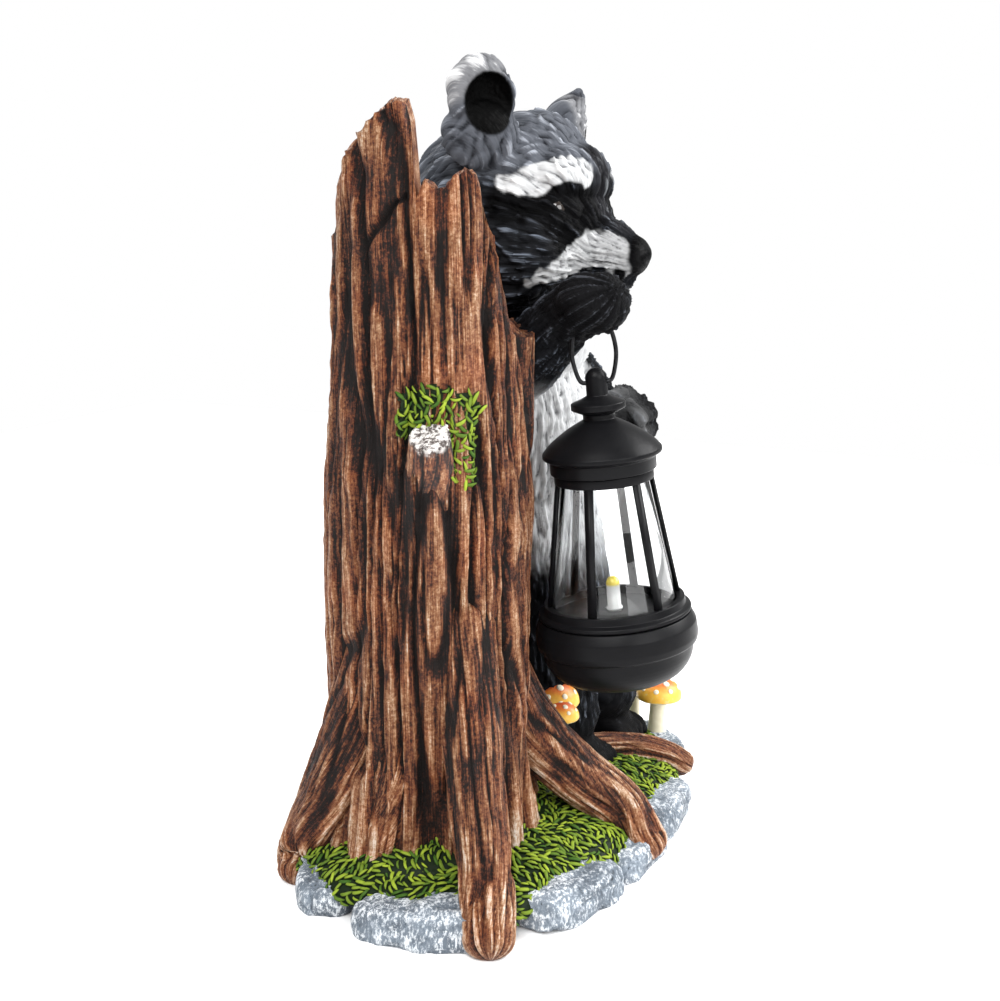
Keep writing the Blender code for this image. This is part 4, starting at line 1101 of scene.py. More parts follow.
def carve_fur(made):
    """Cuts locks into the softened form and stores what the paint reads."""
    spots = mesh_points(made) / MM
    normals = mesh_normals(made)
    flow = fur_flow(spots)
    bare = np.maximum(bare_skin(spots), ear_inside(spots))
    big = locks(flow[:, 0], flow[:, 1], 6.0, 19.0, 41)
    small = locks(flow[:, 0] + 2.0, flow[:, 1], 2.6, 10.0, 45)
    hair = ridges(plane_spots(flow[:, 0] / 0.95, flow[:, 1] / 8.0), 49)
    height = (1.5 * (big - 0.45) + 1.2 * (small - 0.4) + 0.45 * (hair - 0.5)) * (1.0 - bare)
    speck = soft_noise(spots / 1.1, 52)
    carve = np.clip(0.30 * big + 0.36 * small + 0.36 * hair, 0.0, 1.0) * (1.0 - bare) + bare * (0.20 + 0.5 * speck)
    height += bare * 0.5 * (speck - 0.5) * step_up(np.linalg.norm(spots - NOSE_TIP, axis=1), 5.0, 12.0)
    moved = spots + normals * height[:, None]
    made.data.vertices.foreach_set("co", (moved * MM).astype(np.float32).ravel())
    made.data.update()
    paint, brushed = fur_paint(spots)
    set_values(made, "carve", carve)
    set_vectors(made, "flow", plane_spots(flow[:, 0], flow[:, 1]))
    set_colours(made, "paint", paint)
    set_colours(made, "brushed", brushed)
    nose = near(spots, NOSE_TIP + (0, 1.0, 1.0), 7.5, 6)
    set_values(made, "gloss", 0.58 - 0.36 * nose)


def make_head():
    made = joined("raccoon_head", head_forms())
    one_skin(made, settings().head_skin, 12)
    carve_fur(made)
    finish_piece(made, fur_material(), ["statue_casting"])


def make_body():
    made = joined("raccoon_body", body_forms())
    one_skin(made, settings().body_skin, 8)
    carve_fur(made)
    above_ground(made)
    finish_piece(made, bpy.data.materials["painted_fur"], ["statue_casting"])


def make_eyes():
    """Two glossy eyes, set in the mask."""
    made = joined("eyes", [lump(spot, EYE_SIZE) for spot in (EYE_SPOT, *mirrored([EYE_SPOT]))])
    finish_piece(made, gloss_black(), ["statue_casting"])


def rim_point(angle):
    """The middle of a stone's footing at this angle round the base."""
    bend = (abs(math.cos(angle)) ** RIM_POWER + abs(math.sin(angle)) ** RIM_POWER) ** (-1.0 / RIM_POWER)
    bend *= 1.0 - HOLLOW_DEPTH * math.exp(-(((angle % (2 * math.pi) - HOLLOW_ANGLE) / HOLLOW_WIDTH) ** 2))
    length, width = BASE_REACH
    across = (length - STONE_INSET) * bend * math.cos(angle)
    return np.array((across, (width - STONE_INSET) * bend * math.sin(angle), 0.0))


def make_stones():
    """Rim stones of unlike lengths, worn and pitted."""
    parts = []
    for index in range(STONES):
        start = (index + 0.22 * math.sin(index * 2.4)) * 2 * math.pi / STONES
        angle = start + math.pi / STONES
        here = rim_point(angle)
        ahead = rim_point(angle + 0.05) - here
        reach = np.linalg.norm(rim_point(start) - rim_point(start + 2 * math.pi / STONES))
        tall = 13.0 + 1.4 * math.sin(index * 1.9)
        turn = (0, 0.10 * math.sin(index * 2.7), math.atan2(ahead[1], ahead[0]))
        size = (reach * 0.53, STONE_INSET, tall * 0.60)
        parts.append(lump(here + (0, 0, tall * 0.40), size, turn, boxy=0.58, fine=5))
    made = joined("rim_stones", parts)
    tool = made.modifiers.new("Fewer faces", "DECIMATE")
    tool.ratio = 0.6
    apply_modifiers(made)
    spots = mesh_points(made) / MM
    normals = mesh_normals(made)
    broad = soft_noise(spots / 9.0, 61)
    middle = ridges(spots / 6.0, 62)
    fine = soft_noise(spots / 1.6, 63)
    height = 2.2 * (broad - 0.5) + 1.3 * (middle - 0.6) + 0.8 * (fine - 0.5)
    moved = spots + normals * height[:, None]
    made.data.vertices.foreach_set("co", (moved * MM).astype(np.float32).ravel())
    made.data.update()
    set_values(made, "carve", np.clip(0.16 + 0.26 * middle + 0.30 * fine + 0.15 * (broad - 0.5), 0.0, 1.0))
    above_ground(made)
    finish_piece(made, stone_material(), ["statue_casting"])


def geometry_tree(name, inputs):
    """(tree, its inputs, its output node) for a geometry tree with these (name, kind) inputs as well."""
    tree = bpy.data.node_groups.new(name, "GeometryNodeTree")
    tree.interface.new_socket("Geometry", in_out="INPUT", socket_type="NodeSocketGeometry")
    for label, kind in inputs:
        tree.interface.new_socket(label, in_out="INPUT", socket_type=kind)
    tree.interface.new_socket("Geometry", in_out="OUTPUT", socket_type="NodeSocketGeometry")
    return tree, tree.nodes.new("NodeGroupInput").outputs, tree.nodes.new("NodeGroupOutput")


def stored(tree, geometry, name, value, domain):
    sockets = {"Geometry": geometry, "Name": name, "Value": value}
    made = put(tree, "GeometryNodeStoreNamedAttribute", sockets, data_type="FLOAT", domain=domain)
    return made.outputs[0]


def run_tree(made, tree, values):
    """Runs a geometry tree on the piece, with each named input set by its socket's identifier."""
    tool = made.modifiers.new(tree.name, "NODES")
    tool.node_group = tree
    places = {item.name: item.identifier for item in tree.interface.items_tree if item.in_out == "INPUT"}
    for name, value in values.items():
        tool[places[name]] = value
    apply_modifiers(made)


def moss_tree(material):
    """Scatters short bent strands over the faces that it is given."""
    tree, given, out = geometry_tree("moss_strands", (("Strand", NUMBER), ("Spacing", NUMBER)))
    sockets = {"Mesh": given["Geometry"], "Distance Min": given["Spacing"], "Density Max": 900000.0, "Seed": 5}
    points = put(tree, "GeometryNodeDistributePointsOnFaces", sockets, distribute_method="POISSON")
    thick = maths(tree, "MULTIPLY", given["Strand"], 0.160)
    rod = put(
        tree,
        "GeometryNodeMeshCylinder",
        {"Vertices": 5, "Side Segments": 5, "Radius": thick, "Depth": given["Strand"]},
    )
    spot = tree.nodes.new("GeometryNodeInputPosition").outputs[0]
    parts = put(tree, "ShaderNodeSeparateXYZ", {"Vector": spot}).outputs
    share = maths(tree, "DIVIDE", maths(tree, "MULTIPLY", parts["Z"], 2.0), given["Strand"])
    square = maths(tree, "MULTIPLY", share, share)
    taper = maths(tree, "SUBTRACT", 1.0, maths(tree, "MULTIPLY", maths(tree, "MULTIPLY", square, square), 0.7))
    rise = maths(tree, "MULTIPLY", given["Strand"], -0.16)
    arch = maths(tree, "MULTIPLY", maths(tree, "SUBTRACT", 0.55, square), rise)
    curl = maths(tree, "MULTIPLY", square, maths(tree, "MULTIPLY", given["Strand"], 0.12))
    wide = maths(tree, "ADD", maths(tree, "MULTIPLY", parts["X"], taper), arch)
    deep = maths(tree, "ADD", maths(tree, "MULTIPLY", parts["Y"], taper), curl)
    place = put(tree, "ShaderNodeCombineXYZ", {"X": wide, "Y": deep, "Z": parts["Z"]}).outputs[0]
    top = spread(tree, maths(tree, "DIVIDE", parts["X"], thick), 0.7, -0.9)
    tipped = stored(tree, rod.outputs[0], "carve", top, "POINT")
    bent = put(tree, "GeometryNodeSetPosition", {"Geometry": tipped, "Position": place}).outputs[0]
    low, high = (0.0, 1.25, 0.0), (0.0, 1.75, 0.0)
    tilt = put(tree, "FunctionNodeRandomValue", {0: low, 1: high, "Seed": 3}, data_type="FLOAT_VECTOR")
    lay = put(tree, "FunctionNodeEulerToRotation", {0: tilt.outputs[0]}).outputs[0]
    facing = put(
        tree, "FunctionNodeAlignRotationToVector", {"Vector": points.outputs["Normal"]}, axis="Z"
    ).outputs[0]
    unlike = put(tree, "FunctionNodeRandomValue", {2: 0.0, 3: 1.1, "Seed": 8}, data_type="FLOAT").outputs[1]
    spin = maths(tree, "ADD", unlike, maths(tree, "MULTIPLY", noise(tree, spot, 55.0, 1.0), 9.0))
    around = put(tree, "FunctionNodeAxisAngleToRotation", {"Axis": (0.0, 0.0, 1.0), "Angle": spin}).outputs[0]
    turned = put(
        tree, "FunctionNodeRotateRotation", {"Rotation": facing, "Rotate By": around}, rotation_space="LOCAL"
    ).outputs[0]
    laid = put(
        tree, "FunctionNodeRotateRotation", {"Rotation": turned, "Rotate By": lay}, rotation_space="LOCAL"
    ).outputs[0]
    size = put(tree, "FunctionNodeRandomValue", {2: 0.6, 3: 1.15, "Seed": 11}, data_type="FLOAT").outputs[1]
    copies = put(
        tree,
        "GeometryNodeInstanceOnPoints",
        {"Points": points.outputs["Points"], "Instance": bent, "Rotation": laid, "Scale": size},
    ).outputs[0]
    shade = put(tree, "FunctionNodeRandomValue", {2: 0.0, 3: 1.0, "Seed": 17}, data_type="FLOAT").outputs[1]
    tinted = stored(tree, copies, "strand", shade, "INSTANCE")
    real = put(tree, "GeometryNodeRealizeInstances", {"Geometry": tinted}).outputs[0]
    both = put(tree, "GeometryNodeJoinGeometry")
    tree.links.new(given["Geometry"], both.inputs[0])
    tree.links.new(real, both.inputs[0])
    painted = put(tree, "GeometryNodeSetMaterial", {"Geometry": both.outputs[0], "Material": material}).outputs[0]
    tree.links.new(painted, out.inputs[0])
    return tree


# Ground without moss, in metres: under the trunk, under the raccoon, and the mound's buried foot
MOSS_FREE_TRUNK = 0.030
MOSS_FREE_SEAT = (0.010, 0.066, -0.004, 0.045)
MOSS_FOOT = 0.007


def make_moss():
    """Moss over the base, and the patch of it around the knot."""
    chosen = settings()
    material = moss_material()
    tree = moss_tree(material)
    values = {"Strand": chosen.moss_strand, "Spacing": chosen.moss_spacing}
    forms = [lump((0, 0, 4), (97, 62, 18), boxy=0.72, fine=5), lump((-30, 4, 12), (58, 44, 16), fine=5)]
    mound = joined("moss_ground", forms)
    left, right, front, back = MOSS_FREE_SEAT
    shape = bmesh.new()
    shape.from_mesh(mound.data)
    hidden = []
    for face in shape.faces:
        middle = face.calc_center_median()
        inner = (middle - Vector(TRUNK_CENTRE) * MM).xy.length < MOSS_FREE_TRUNK
        under = left < middle.x < right and front < middle.y < back
        if middle.z < MOSS_FOOT or face.normal.z < 0.2 or inner or under:
            hidden.append(face)
    bmesh.ops.delete(shape, geom=hidden, context="FACES")
    shape.to_mesh(mound.data)
    shape.free()
    run_tree(mound, tree, values)
    finish_piece(mound, material, ["statue_casting"])
    patch = trunk_patch()
    run_tree(patch, tree, values)
    finish_piece(patch, material, ["statue_casting"])


def trunk_patch():
    """The part of the trunk's skin around the knot that moss covers."""
    angles = np.radians(np.linspace(182.0, 236.0, 40))
    heights = np.linspace(153.0, 190.0, 46)
    points, keep = [], []
    for height in heights:
        for angle in angles:
            relief = bark(np.array([angle]), np.array([height]))[0][0]
            radius = TRUNK_RADIUS + 0.9 + relief
            points.append(TRUNK_CENTRE + np.array((math.cos(angle) * radius, math.sin(angle) * radius, height)))
            side = math.degrees(angle - KNOT_ANGLE)
            wave = 2.0 * math.sin(height * 0.5) + 1.5 * math.sin(height * 1.3 + side)
            upper = height > 170.0 and -14.0 + wave * 0.5 < side < 27.0 + wave * 0.5
            lower = height <= 170.0 and 4.0 + (170.0 - height) * 0.45 + wave * 0.4 < side < 27.0 + wave * 0.4
            keep.append((upper or lower) and height < 187.0 + wave * 0.5 - 0.012 * (side - 4.0) ** 2)
    faces = []
    wide = len(angles)
    for row in range(len(heights) - 1):
        for column in range(wide - 1):
            corner = row * wide + column
            if keep[corner]:
                faces.append((corner, corner + 1, corner + wide + 1, corner + wide))
    made = mesh_piece("moss_patch", np.array(points) * MM, faces)
    shape = bmesh.new()
    shape.from_mesh(made.data)
    bmesh.ops.delete(shape, geom=[vert for vert in shape.verts if not vert.link_faces], context="VERTS")
    shape.to_mesh(made.data)
    shape.free()
    return made


# A cap's height as a share of its radius, and each mushroom as x, y, foot, height, cap radius and lean
CAP_RISE = 0.8
MUSHROOMS = (
    (82.7, -38.3, 17, 15.5, 10.0, 2.0),
    (93, -24, 17, 13, 6.0, 3.0),
    (13.7, -18.4, 17, 38.5, 10.5, -3.0),
    (5.7, -24.4, 26, 24.5, 7.5, -2.0),
)


def turned_rings(rows, sides):
    angles = np.linspace(0.0, 2 * math.pi, sides, endpoint=False)
    return [np.stack((np.cos(angles) * r, np.sin(angles) * r, angles * 0.0 + z), axis=1) for r, z in rows]


def turned_data(profile, sides):
    """Points and faces of a closed turned form from (radius, height) stops, first and last on the axis."""
    rows = np.asarray(profile[1:-1], float)
    rings = turned_rings(rows, sides)
    points = np.concatenate(rings + [[(0.0, 0.0, profile[0][1])], [(0.0, 0.0, profile[-1][1])]])
    return points, ring_faces(len(rows), sides)


def cap_profile(cap):
    """A domed cap with a rolled rim and a hollow under side, from the top of the dome down."""
    dome = [(cap * math.sin(turn), cap * CAP_RISE * math.cos(turn)) for turn in np.linspace(0.0, 1.50, 16)]
    rim = [(cap * 1.0, -cap * 0.03), (cap * 0.97, -cap * 0.09), (cap * 0.88, -cap * 0.08)]
    under = [(cap * 0.6, cap * 0.04), (cap * 0.36, cap * 0.08), (0.0, cap * 0.10)]
    return dome + rim + under


def make_mushrooms():
    """Stems and domed caps, and the cream spots on the caps."""
    parts, zones, spots = [], [], []
    for x, y, foot, height, cap, lean in MUSHROOMS:
        stem = ((x, y, foot - 4, cap * 0.42), (x + lean * 0.4, y, foot + height * 0.5, cap * 0.36))
        top = np.array((x + lean, y, foot + height * 0.86))
        points, faces, _ = limb_data((*stem, (x + lean, y, foot + height * 0.8, cap * 0.4)), sides=32)
        parts.append((points, faces))
        zones.append(np.full(len(points), 0.12))
        points, faces = turned_data(cap_profile(cap), 64)
        reach = np.hypot(points[:, 0], points[:, 1]) / cap
        dome = points[:, 2] >= cap * CAP_RISE * np.sqrt(np.clip(1.0 - reach**2, 0.0, 1.0)) - cap * 0.06
        zones.append(np.where(dome, np.clip(0.98 - 0.68 * reach**1.3, 0.36, 1.0), 0.22))
        parts.append((points + top, faces))
        for ring, count in ((0.0, 1), (0.52, 5), (0.84, 8)):
            for index in range(count):
                angle = 2 * math.pi * index / count + ring * 3.0
                spots.append((top, cap, ring, angle))
    made = joined("mushrooms", parts)
    outward(made)
    set_values(made, "zone", np.concatenate(zones))
    finish_piece(made, mushroom_material(), ["statue_casting"])
    dots = []
    for top, cap, ring, angle in spots:
        turn = math.asin(ring)
        level = np.array((math.cos(angle), math.sin(angle), 0.0)) * math.sin(turn)
        out = level + (0.0, 0.0, math.cos(turn) * CAP_RISE)
        size = cap * (0.115 if ring > 0.6 else 0.15)
        dots.append(lump(top + out * cap, (size, size, size * 0.30), (0.0, turn, angle), fine=2))
    made = joined("mushroom_spots", dots)
    finish_piece(made, cream_material(), ["statue_casting"])


# The lantern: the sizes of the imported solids, in millimetres
LANTERN_HEIGHT = 98.5
BOWL_RADIUS = 30.3
BOWL_FLOOR = 15.0
BOWL_HEIGHT = 25.2
BOWL_WALL = 1.8
RING_HEIGHT = 5.2
SHADE_TOP = 15.4
SHADE_BOTTOM = 23.0
SHADE_WALL = 1.0
BAR_WIDTH = 3.3
BAR_DEPTH = 1.6
TOP_RING = 3.4
ROOF_RIM = 21.8
ROOF_WALL = 1.8
FINIAL_RADIUS = 3.9
FINIAL_HEIGHT = 18.5
FLANGE = 9.9
WIRE_RADIUS = 0.8
LOOP_WIDTH = 15.8
LOOP_RISE = 24.5
LED_RADIUS = 2.5
LED_HEIGHT = 12.0
GAP = 0.3
TILT = math.radians(5.5)
FIRST_BAR = math.radians(7)
CAGE_FLOOR = BOWL_HEIGHT + GAP
DECK = CAGE_FLOOR + RING_HEIGHT * 0.45
CAGE_TOP = LANTERN_HEIGHT * 0.805
ROOF_SEAT = CAGE_TOP + GAP
FINIAL_TOP = LANTERN_HEIGHT + FINIAL_HEIGHT
WIRE_HOLE = FINIAL_TOP - 1.3 * FINIAL_RADIUS
WIRE_TOP = WIRE_HOLE + LOOP_RISE
MOUTH = BOWL_RADIUS * 0.93
RING_RADIUS = SHADE_BOTTOM + GAP + BAR_DEPTH + 1.2
TOP_RING_RADIUS = SHADE_TOP + 2 * GAP + BAR_DEPTH + 0.6


def lantern_place():
    """From the lantern's own upright axes to where it hangs, in millimetres."""
    turn = Matrix(((SIDE[0], BACK[0], 0.0), (SIDE[1], BACK[1], 0.0), (0.0, 0.0, 1.0))).to_4x4()
    grip = Matrix.Translation(Vector(HAND - (0.0, 0.0, GRIP_DROP)))
    return grip @ turn @ Matrix.Rotation(-TILT, 4, "Y") @ Matrix.Translation((0.0, 0.0, -WIRE_TOP))


def placed(points):
    place = np.array(lantern_place())
    return np.asarray(points) @ place[:3, :3].T + place[:3, 3]


def rounded(profile, radius=0.35, steps=3):
    """Rounds the corners of a profile a little, so that they catch the light."""
    stops = np.asarray(profile, float)
    made = [stops[0]]
    for before, corner, after in zip(stops[:-2], stops[1:-1], stops[2:]):
        first, second = before - corner, after - corner
        reach = min(radius, 0.4 * np.linalg.norm(first), 0.4 * np.linalg.norm(second))
        start = corner + first / np.linalg.norm(first) * reach
        end = corner + second / np.linalg.norm(second) * reach
        for share in np.linspace(0.0, 1.0, steps + 1):
            made.append((1 - share) ** 2 * start + 2 * share * (1 - share) * corner + share**2 * end)
    made.append(stops[-1])
    return made


def closed_turn(profile, sides=128):
    """Points and faces of a ring or shell turned from a closed profile that stays off the axis."""
    rows = np.asarray(profile, float)
    faces = []
    for ring in range(len(rows)):
        low, high = ring * sides, (ring + 1) % len(rows) * sides
        for side in range(sides):
            turn = (side + 1) % sides
            faces.append((low + turn, low + side, high + side, high + turn))
    return np.concatenate(turned_rings(rows, sides)), faces


def outward(made):
    """Turns every face of the piece outward."""
    shape = bmesh.new()
    shape.from_mesh(made.data)
    bmesh.ops.recalc_face_normals(shape, faces=shape.faces)
    shape.to_mesh(made.data)
    shape.free()


def lantern_piece(name, parts, material):
    """A piece of the lantern, hung in place, that stands for the node of its name."""
    made = joined(name, [(placed(points), faces) for points, faces in parts])
    outward(made)
    finish_piece(made, material, [name.replace("_finish", "")])
    return made


def make_bowl():
    """The hollow bowl with its raised belt."""
    widest = BOWL_HEIGHT * 0.66
    outer = [(MOUTH, BOWL_HEIGHT), (BOWL_RADIUS * 0.985, BOWL_HEIGHT * 0.86), (BOWL_RADIUS, widest)]
    outer += [(BOWL_RADIUS * 0.985, widest - 2.2), (BOWL_RADIUS * 0.945, widest - 3.0)]
    for share in np.linspace(0.1, 0.96, 12):
        bend = math.cos(share * math.pi / 2)
        radius = BOWL_FLOOR + (BOWL_RADIUS * 0.935 - BOWL_FLOOR) * bend
        outer.append((radius, (widest - 3.5) * (1 - math.sin(share * math.pi / 2))))
    outer += [(BOWL_FLOOR, 0.0), (0.6, 0.0)]
    inner = [(0.6, BOWL_WALL), (BOWL_FLOOR, BOWL_WALL), (BOWL_RADIUS * 0.80, BOWL_HEIGHT * 0.26)]
    inner += [(BOWL_RADIUS * 0.945 - BOWL_WALL, widest), (MOUTH - BOWL_WALL, BOWL_HEIGHT)]
    profile = rounded([outer[-1]] + inner + outer)[:-1]
    lantern_piece("lantern_bowl_finish", [closed_turn(profile)], plastic_material())


def shade_radius(height):
    """The clear shade's outer radius at a height."""
    foot, head = DECK + GAP, CAGE_TOP - GAP
    return SHADE_BOTTOM + (SHADE_TOP - SHADE_BOTTOM) * (height - foot) / (head - foot)


def bar_tree(material):
    """Copies one bar round the lantern's axis."""
    tree, given, out = geometry_tree("bars_round", (("Bars", "NodeSocketInt"),))
    line = put(tree, "GeometryNodeMeshLine", {"Count": given["Bars"], "Offset": (0.0, 0.0, 0.0)}).outputs[0]
    index = tree.nodes.new("GeometryNodeInputIndex").outputs[0]
    around = maths(tree, "DIVIDE", maths(tree, "MULTIPLY", index, 2 * math.pi), given["Bars"])
    turn = put(tree, "ShaderNodeCombineXYZ", {"Z": maths(tree, "ADD", around, FIRST_BAR)}).outputs[0]
    spin = put(tree, "FunctionNodeEulerToRotation", {0: turn}).outputs[0]
    copies = put(
        tree, "GeometryNodeInstanceOnPoints", {"Points": line, "Instance": given["Geometry"], "Rotation": spin}
    ).outputs[0]
    real = put(tree, "GeometryNodeRealizeInstances", {"Geometry": copies}).outputs[0]
    painted = put(tree, "GeometryNodeSetMaterial", {"Geometry": real, "Material": material}).outputs[0]
    tree.links.new(painted, out.inputs[0])
    return tree


def make_cage():
    """The deck with its base ring, the top ring and the bars between them."""
    material = plastic_material()
    inside = SHADE_BOTTOM + GAP
    top = CAGE_FLOOR + RING_HEIGHT
    hole = LED_RADIUS + GAP
    deck = [(hole, CAGE_FLOOR), (MOUTH - 0.4, CAGE_FLOOR), (MOUTH + 0.3, CAGE_FLOOR + 0.8), (MOUTH, DECK - 0.6)]
    deck += [(RING_RADIUS + 0.3, DECK + 0.2), (RING_RADIUS, top), (inside, top), (inside, DECK), (hole, DECK)]
    low = CAGE_TOP - TOP_RING
    ring = [(TOP_RING_RADIUS, CAGE_TOP), (shade_radius(CAGE_TOP) + GAP, CAGE_TOP), (shade_radius(low) + GAP, low)]
    ring += [(TOP_RING_RADIUS, low), (TOP_RING_RADIUS, CAGE_TOP)]
    parts = [closed_turn(rounded(deck + deck[:2])[1:-1]), closed_turn(rounded(ring + ring[1:2])[1:-1], 96)]
    lantern_piece("lantern_cage_finish", parts, material)
    bars = one_bar("lantern_bars")
    run_tree(bars, bar_tree(material), {"Bars": settings().bars})
    bars.data.transform(Matrix.Scale(MM, 4) @ lantern_place() @ Matrix.Scale(1.0 / MM, 4))
    finish_piece(bars, material, ["lantern_cage"])


def one_bar(name):
    """A bar that leans in with the shade, on the lantern's own axes."""
    foot, head = CAGE_FLOOR + RING_HEIGHT * 0.8, CAGE_TOP - TOP_RING * 0.5
    shape = bmesh.new()
    bmesh.ops.create_cube(shape, size=1.0)
    for vert in shape.verts:
        height = foot + (head - foot) * (vert.co.z + 0.5)
        reach = shade_radius(height) + 2 * GAP + (vert.co.x + 0.5) * BAR_DEPTH
        vert.co = Vector((reach, vert.co.y * BAR_WIDTH, height)) * MM
    bmesh.ops.bevel(shape, geom=shape.edges[:], offset=0.35 * MM, segments=3, affect="EDGES")
    mesh = bpy.data.meshes.new(name)
    shape.to_mesh(mesh)
    shape.free()
    made = bpy.data.objects.new(name, mesh)
    bpy.context.collection.objects.link(made)
    return made


def make_shade():
    """The clear shade, open at both ends."""
    foot, head = DECK + GAP, CAGE_TOP - GAP
    outer = [(SHADE_TOP, head), (SHADE_BOTTOM, foot)]
    inner = [(SHADE_BOTTOM - SHADE_WALL, foot), (SHADE_TOP - SHADE_WALL, head)]
    profile = rounded(outer + inner + outer[:2])[1:-1]
    lantern_piece("lantern_shade_finish", [closed_turn(profile, 144)], clear_material())


def make_roof():
    """Finial, flange, curved roof and band, hollow underneath, from the top down and back in."""
    band = TOP_RING_RADIUS + 1.2
    cone = LANTERN_HEIGHT - ROOF_SEAT
    neck = FINIAL_RADIUS * 1.5
    top = FINIAL_TOP
    turns = np.linspace(0, 1.5, 10)
    profile = [(FINIAL_RADIUS * math.sin(turn), top - FINIAL_RADIUS * (1 - math.cos(turn))) for turn in turns]
    profile[0] = (0.0, top)
    finial = (
        (FINIAL_RADIUS, 0.46), (FLANGE * 0.62, 0.40), (FLANGE, 0.32), (FLANGE, 0.20), (neck, 0.10), (neck, 0.0),
    )
    profile += [(radius, LANTERN_HEIGHT + FINIAL_HEIGHT * share) for radius, share in finial]
    roof = ((neck, 1.0), (ROOF_RIM * 0.58, 0.80), (ROOF_RIM * 0.85, 0.57), (ROOF_RIM, 0.39))
    slope = curve_points([(radius, ROOF_SEAT + cone * share, 0) for radius, share in roof], 16)
    profile += [(radius, height) for radius, height, _ in slope[1:]]
    edge = (
        (ROOF_RIM, 0.31), (band, 0.24), (band, 0.0), (band - ROOF_WALL, 0.0), (band - ROOF_WALL, 0.20),
        (ROOF_RIM * 0.74, 0.42), (ROOF_RIM * 0.45, 0.62), (0.0, 0.70),
    )
    profile += [(radius, ROOF_SEAT + cone * share) for radius, share in edge]
    lantern_piece("lantern_roof_finish", [turned_data(rounded(profile), 128)], plastic_material())


def make_lamp():
    """The small lamp that stands through the deck."""
    top = DECK + LED_HEIGHT
    profile = [(0.0, top)]
    for turn in np.linspace(0.15, math.pi / 2, 9):
        profile.append((LED_RADIUS * math.sin(turn), top - LED_RADIUS * (1 - math.cos(turn))))
    profile += [(LED_RADIUS, DECK + GAP + 1.0), (LED_RADIUS + 0.5, DECK + GAP + 1.0), (LED_RADIUS + 0.5, DECK + GAP)]
    profile += [(LED_RADIUS, DECK + GAP), (LED_RADIUS, CAGE_FLOOR + 1.0), (0.0, CAGE_FLOOR + 1.0)]
    points, faces = turned_data(profile, 48)
    made = lantern_piece("lantern_led_finish", [(points, faces)], lamp_material())
    set_values(made, "zone", np.clip((points[:, 2] - DECK) / LED_HEIGHT, 0.0, 1.0))


def make_bail():
    """The wire loop, through the finial and up into the fist."""
    half = LOOP_WIDTH / 2
    stops = [(FINIAL_RADIUS * 0.45, 0.0), (FINIAL_RADIUS + 1.2, 0.0), (half * 0.86, LOOP_RISE * 0.14)]
    stops += [(half, LOOP_RISE * 0.42), (half * 0.86, LOOP_RISE * 0.72), (half * 0.52, LOOP_RISE * 0.93)]
    stops += [(0.0, LOOP_RISE)]
    stops += [(-x, z) for x, z in stops[-2::-1]]
    line = curve_points([(x, 0.0, WIRE_HOLE + z) for x, z in stops], 120)
    spots = placed(line)
    wire = [(*spot, WIRE_RADIUS) for spot in (*spots[::3], spots[-1])]
    made = joined("lantern_bail_finish", [limb_data(wire, steps=200)])
    outward(made)
    finish_piece(made, wire_material(), ["lantern_bail"])


# Stage


FLOOR_SIZE = 1.7
CAMERA_SPOT = (-0.473, -0.221, 0.250)
CAMERA_AIM = (0.0, 0.0, 0.1324)
LIGHT_AIM = (0.0, 0.0, 0.12)
# Name, place, power and size of each soft light
LIGHTS = (
    ("key", (-0.9, -0.1, 1.1), 20.0, 0.8),
    ("front", (-0.5, -1.1, 0.7), 14.0, 0.9),
    ("rim", (0.7, -0.8, 0.9), 24.0, 0.8),
    ("back", (0.6, 0.9, 1.0), 14.0, 1.0),
)


def aimed(made, spot, target):
    """Stands a camera or light at a spot and points it at the target."""
    made.location = spot
    made.rotation_euler = (Vector(target) - made.location).to_track_quat("-Z", "Y").to_euler()
    bpy.context.scene.collection.objects.link(made)


def make_stage():
    """Pale floor, camera, four soft lights and a white surrounding."""
    scene = bpy.context.scene
    bpy.ops.mesh.primitive_plane_add(size=FLOOR_SIZE, location=(0.0, 0.0, 0.0))
    floor = bpy.context.object
    floor.name = "floor"
    paper, _, _ = new_material("plain_floor", Base_Color=(0.95, 0.95, 0.95, 1.0), Roughness=0.8)
    floor.data.materials.append(paper)
    eye = bpy.data.objects.new("camera", bpy.data.cameras.new("camera"))
    eye.data.lens = 50.0
    aimed(eye, CAMERA_SPOT, CAMERA_AIM)
    scene.camera = eye
    for name, spot, power, size in LIGHTS:
        lamp = bpy.data.lights.new(name, "AREA")
        lamp.energy = power
        lamp.size = size
        aimed(bpy.data.objects.new(name, lamp), spot, LIGHT_AIM)
    world = bpy.data.worlds.new("studio")
    world.use_nodes = True
    seen = world.node_tree.nodes.new("ShaderNodeLightPath").outputs["Is Camera Ray"]
    backdrop = world.node_tree.nodes["Background"]
    backdrop.inputs["Color"].default_value = (1.0, 1.0, 1.0, 1.0)
    link_in(world.node_tree, backdrop, "Strength", spread(world.node_tree, seen, 0.0, 1.0, 0.50, 1.0))
    scene.world = world
    scene.view_settings.view_transform = "Standard"


# Operators, in the order in which the script runs them


class STATUE_OT_stage(bpy.types.Operator):
    """Floor, lights and camera."""

    bl_idname = "statue.stage"
    bl_label = "Stage"

    def execute(self, context):
        make_stage()
        return {"FINISHED"}


class STATUE_OT_stump(bpy.types.Operator):
    """The trunk's bark and its broken top."""

    bl_idname = "statue.stump"
    bl_label = "Stump"

    def execute(self, context):
        make_stump()
        return {"FINISHED"}


class STATUE_OT_roots(bpy.types.Operator):
    """Spreading roots and the cut knot."""

    bl_idname = "statue.roots"
    bl_label = "Roots"

    def execute(self, context):
        make_roots()
        return {"FINISHED"}


class STATUE_OT_head(bpy.types.Operator):
    """The raccoon's head."""

    bl_idname = "statue.head"
    bl_label = "Head"

    def execute(self, context):
        make_head()
        return {"FINISHED"}


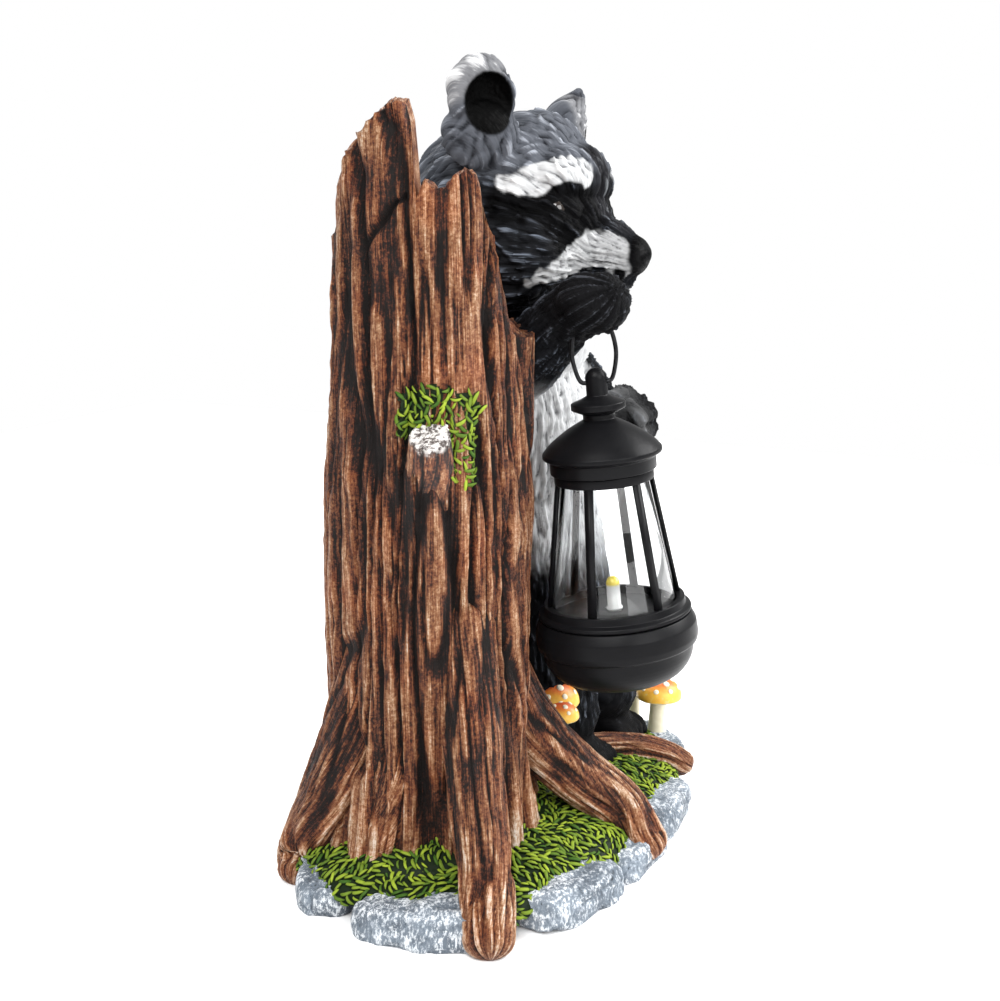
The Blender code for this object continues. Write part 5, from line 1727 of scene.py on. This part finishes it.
class STATUE_OT_body(bpy.types.Operator):
    """The raccoon's body, arms, feet and tail."""

    bl_idname = "statue.body"
    bl_label = "Body"

    def execute(self, context):
        make_body()
        return {"FINISHED"}


class STATUE_OT_eyes(bpy.types.Operator):
    """The glossy eyes."""

    bl_idname = "statue.eyes"
    bl_label = "Eyes"

    def execute(self, context):
        make_eyes()
        return {"FINISHED"}


class STATUE_OT_stones(bpy.types.Operator):
    """The rim stones."""

    bl_idname = "statue.stones"
    bl_label = "Stones"

    def execute(self, context):
        make_stones()
        return {"FINISHED"}


class STATUE_OT_moss(bpy.types.Operator):
    """Moss on the base and around the knot."""

    bl_idname = "statue.moss"
    bl_label = "Moss"

    def execute(self, context):
        make_moss()
        return {"FINISHED"}


class STATUE_OT_mushrooms(bpy.types.Operator):
    """The spotted mushrooms."""

    bl_idname = "statue.mushrooms"
    bl_label = "Mushrooms"

    def execute(self, context):
        make_mushrooms()
        return {"FINISHED"}


class STATUE_OT_bowl(bpy.types.Operator):
    """The lantern's bowl."""

    bl_idname = "statue.bowl"
    bl_label = "Bowl"

    def execute(self, context):
        make_bowl()
        return {"FINISHED"}


class STATUE_OT_cage(bpy.types.Operator):
    """The lantern's deck, rings and bars."""

    bl_idname = "statue.cage"
    bl_label = "Cage"

    def execute(self, context):
        make_cage()
        return {"FINISHED"}


class STATUE_OT_shade(bpy.types.Operator):
    """The clear shade."""

    bl_idname = "statue.shade"
    bl_label = "Shade"

    def execute(self, context):
        make_shade()
        return {"FINISHED"}


class STATUE_OT_roof(bpy.types.Operator):
    """The roof and finial."""

    bl_idname = "statue.roof"
    bl_label = "Roof"

    def execute(self, context):
        make_roof()
        return {"FINISHED"}


class STATUE_OT_lamp(bpy.types.Operator):
    """The lamp."""

    bl_idname = "statue.lamp"
    bl_label = "Lamp"

    def execute(self, context):
        make_lamp()
        return {"FINISHED"}


class STATUE_OT_bail(bpy.types.Operator):
    """The wire that the lantern hangs by."""

    bl_idname = "statue.bail"
    bl_label = "Bail"

    def execute(self, context):
        make_bail()
        return {"FINISHED"}


STEPS = (
    STATUE_OT_stage,
    STATUE_OT_stump,
    STATUE_OT_roots,
    STATUE_OT_head,
    STATUE_OT_body,
    STATUE_OT_eyes,
    STATUE_OT_stones,
    STATUE_OT_moss,
    STATUE_OT_mushrooms,
    STATUE_OT_bowl,
    STATUE_OT_cage,
    STATUE_OT_shade,
    STATUE_OT_roof,
    STATUE_OT_lamp,
    STATUE_OT_bail,
)


class STATUE_PT_panel(bpy.types.Panel):
    """Lists the pieces of the statue."""

    bl_label = "Statue"
    bl_space_type = "VIEW_3D"
    bl_region_type = "UI"
    bl_category = "Statue"

    def draw(self, context):
        for step in STEPS:
            self.layout.operator(step.bl_idname)


def register():
    for item in (StatueSettings, *STEPS, STATUE_PT_panel):
        bpy.utils.register_class(item)
    bpy.types.Scene.raccoon_statue = PointerProperty(type=StatueSettings)


def unregister():
    del bpy.types.Scene.raccoon_statue
    for item in (STATUE_PT_panel, *reversed(STEPS), StatueSettings):
        bpy.utils.unregister_class(item)


def main():
    """Makes the stage and every piece."""
    register()
    for step in STEPS:
        group, name = step.bl_idname.split(".")
        getattr(getattr(bpy.ops, group), name)()


if __name__ == "__main__":
    main()
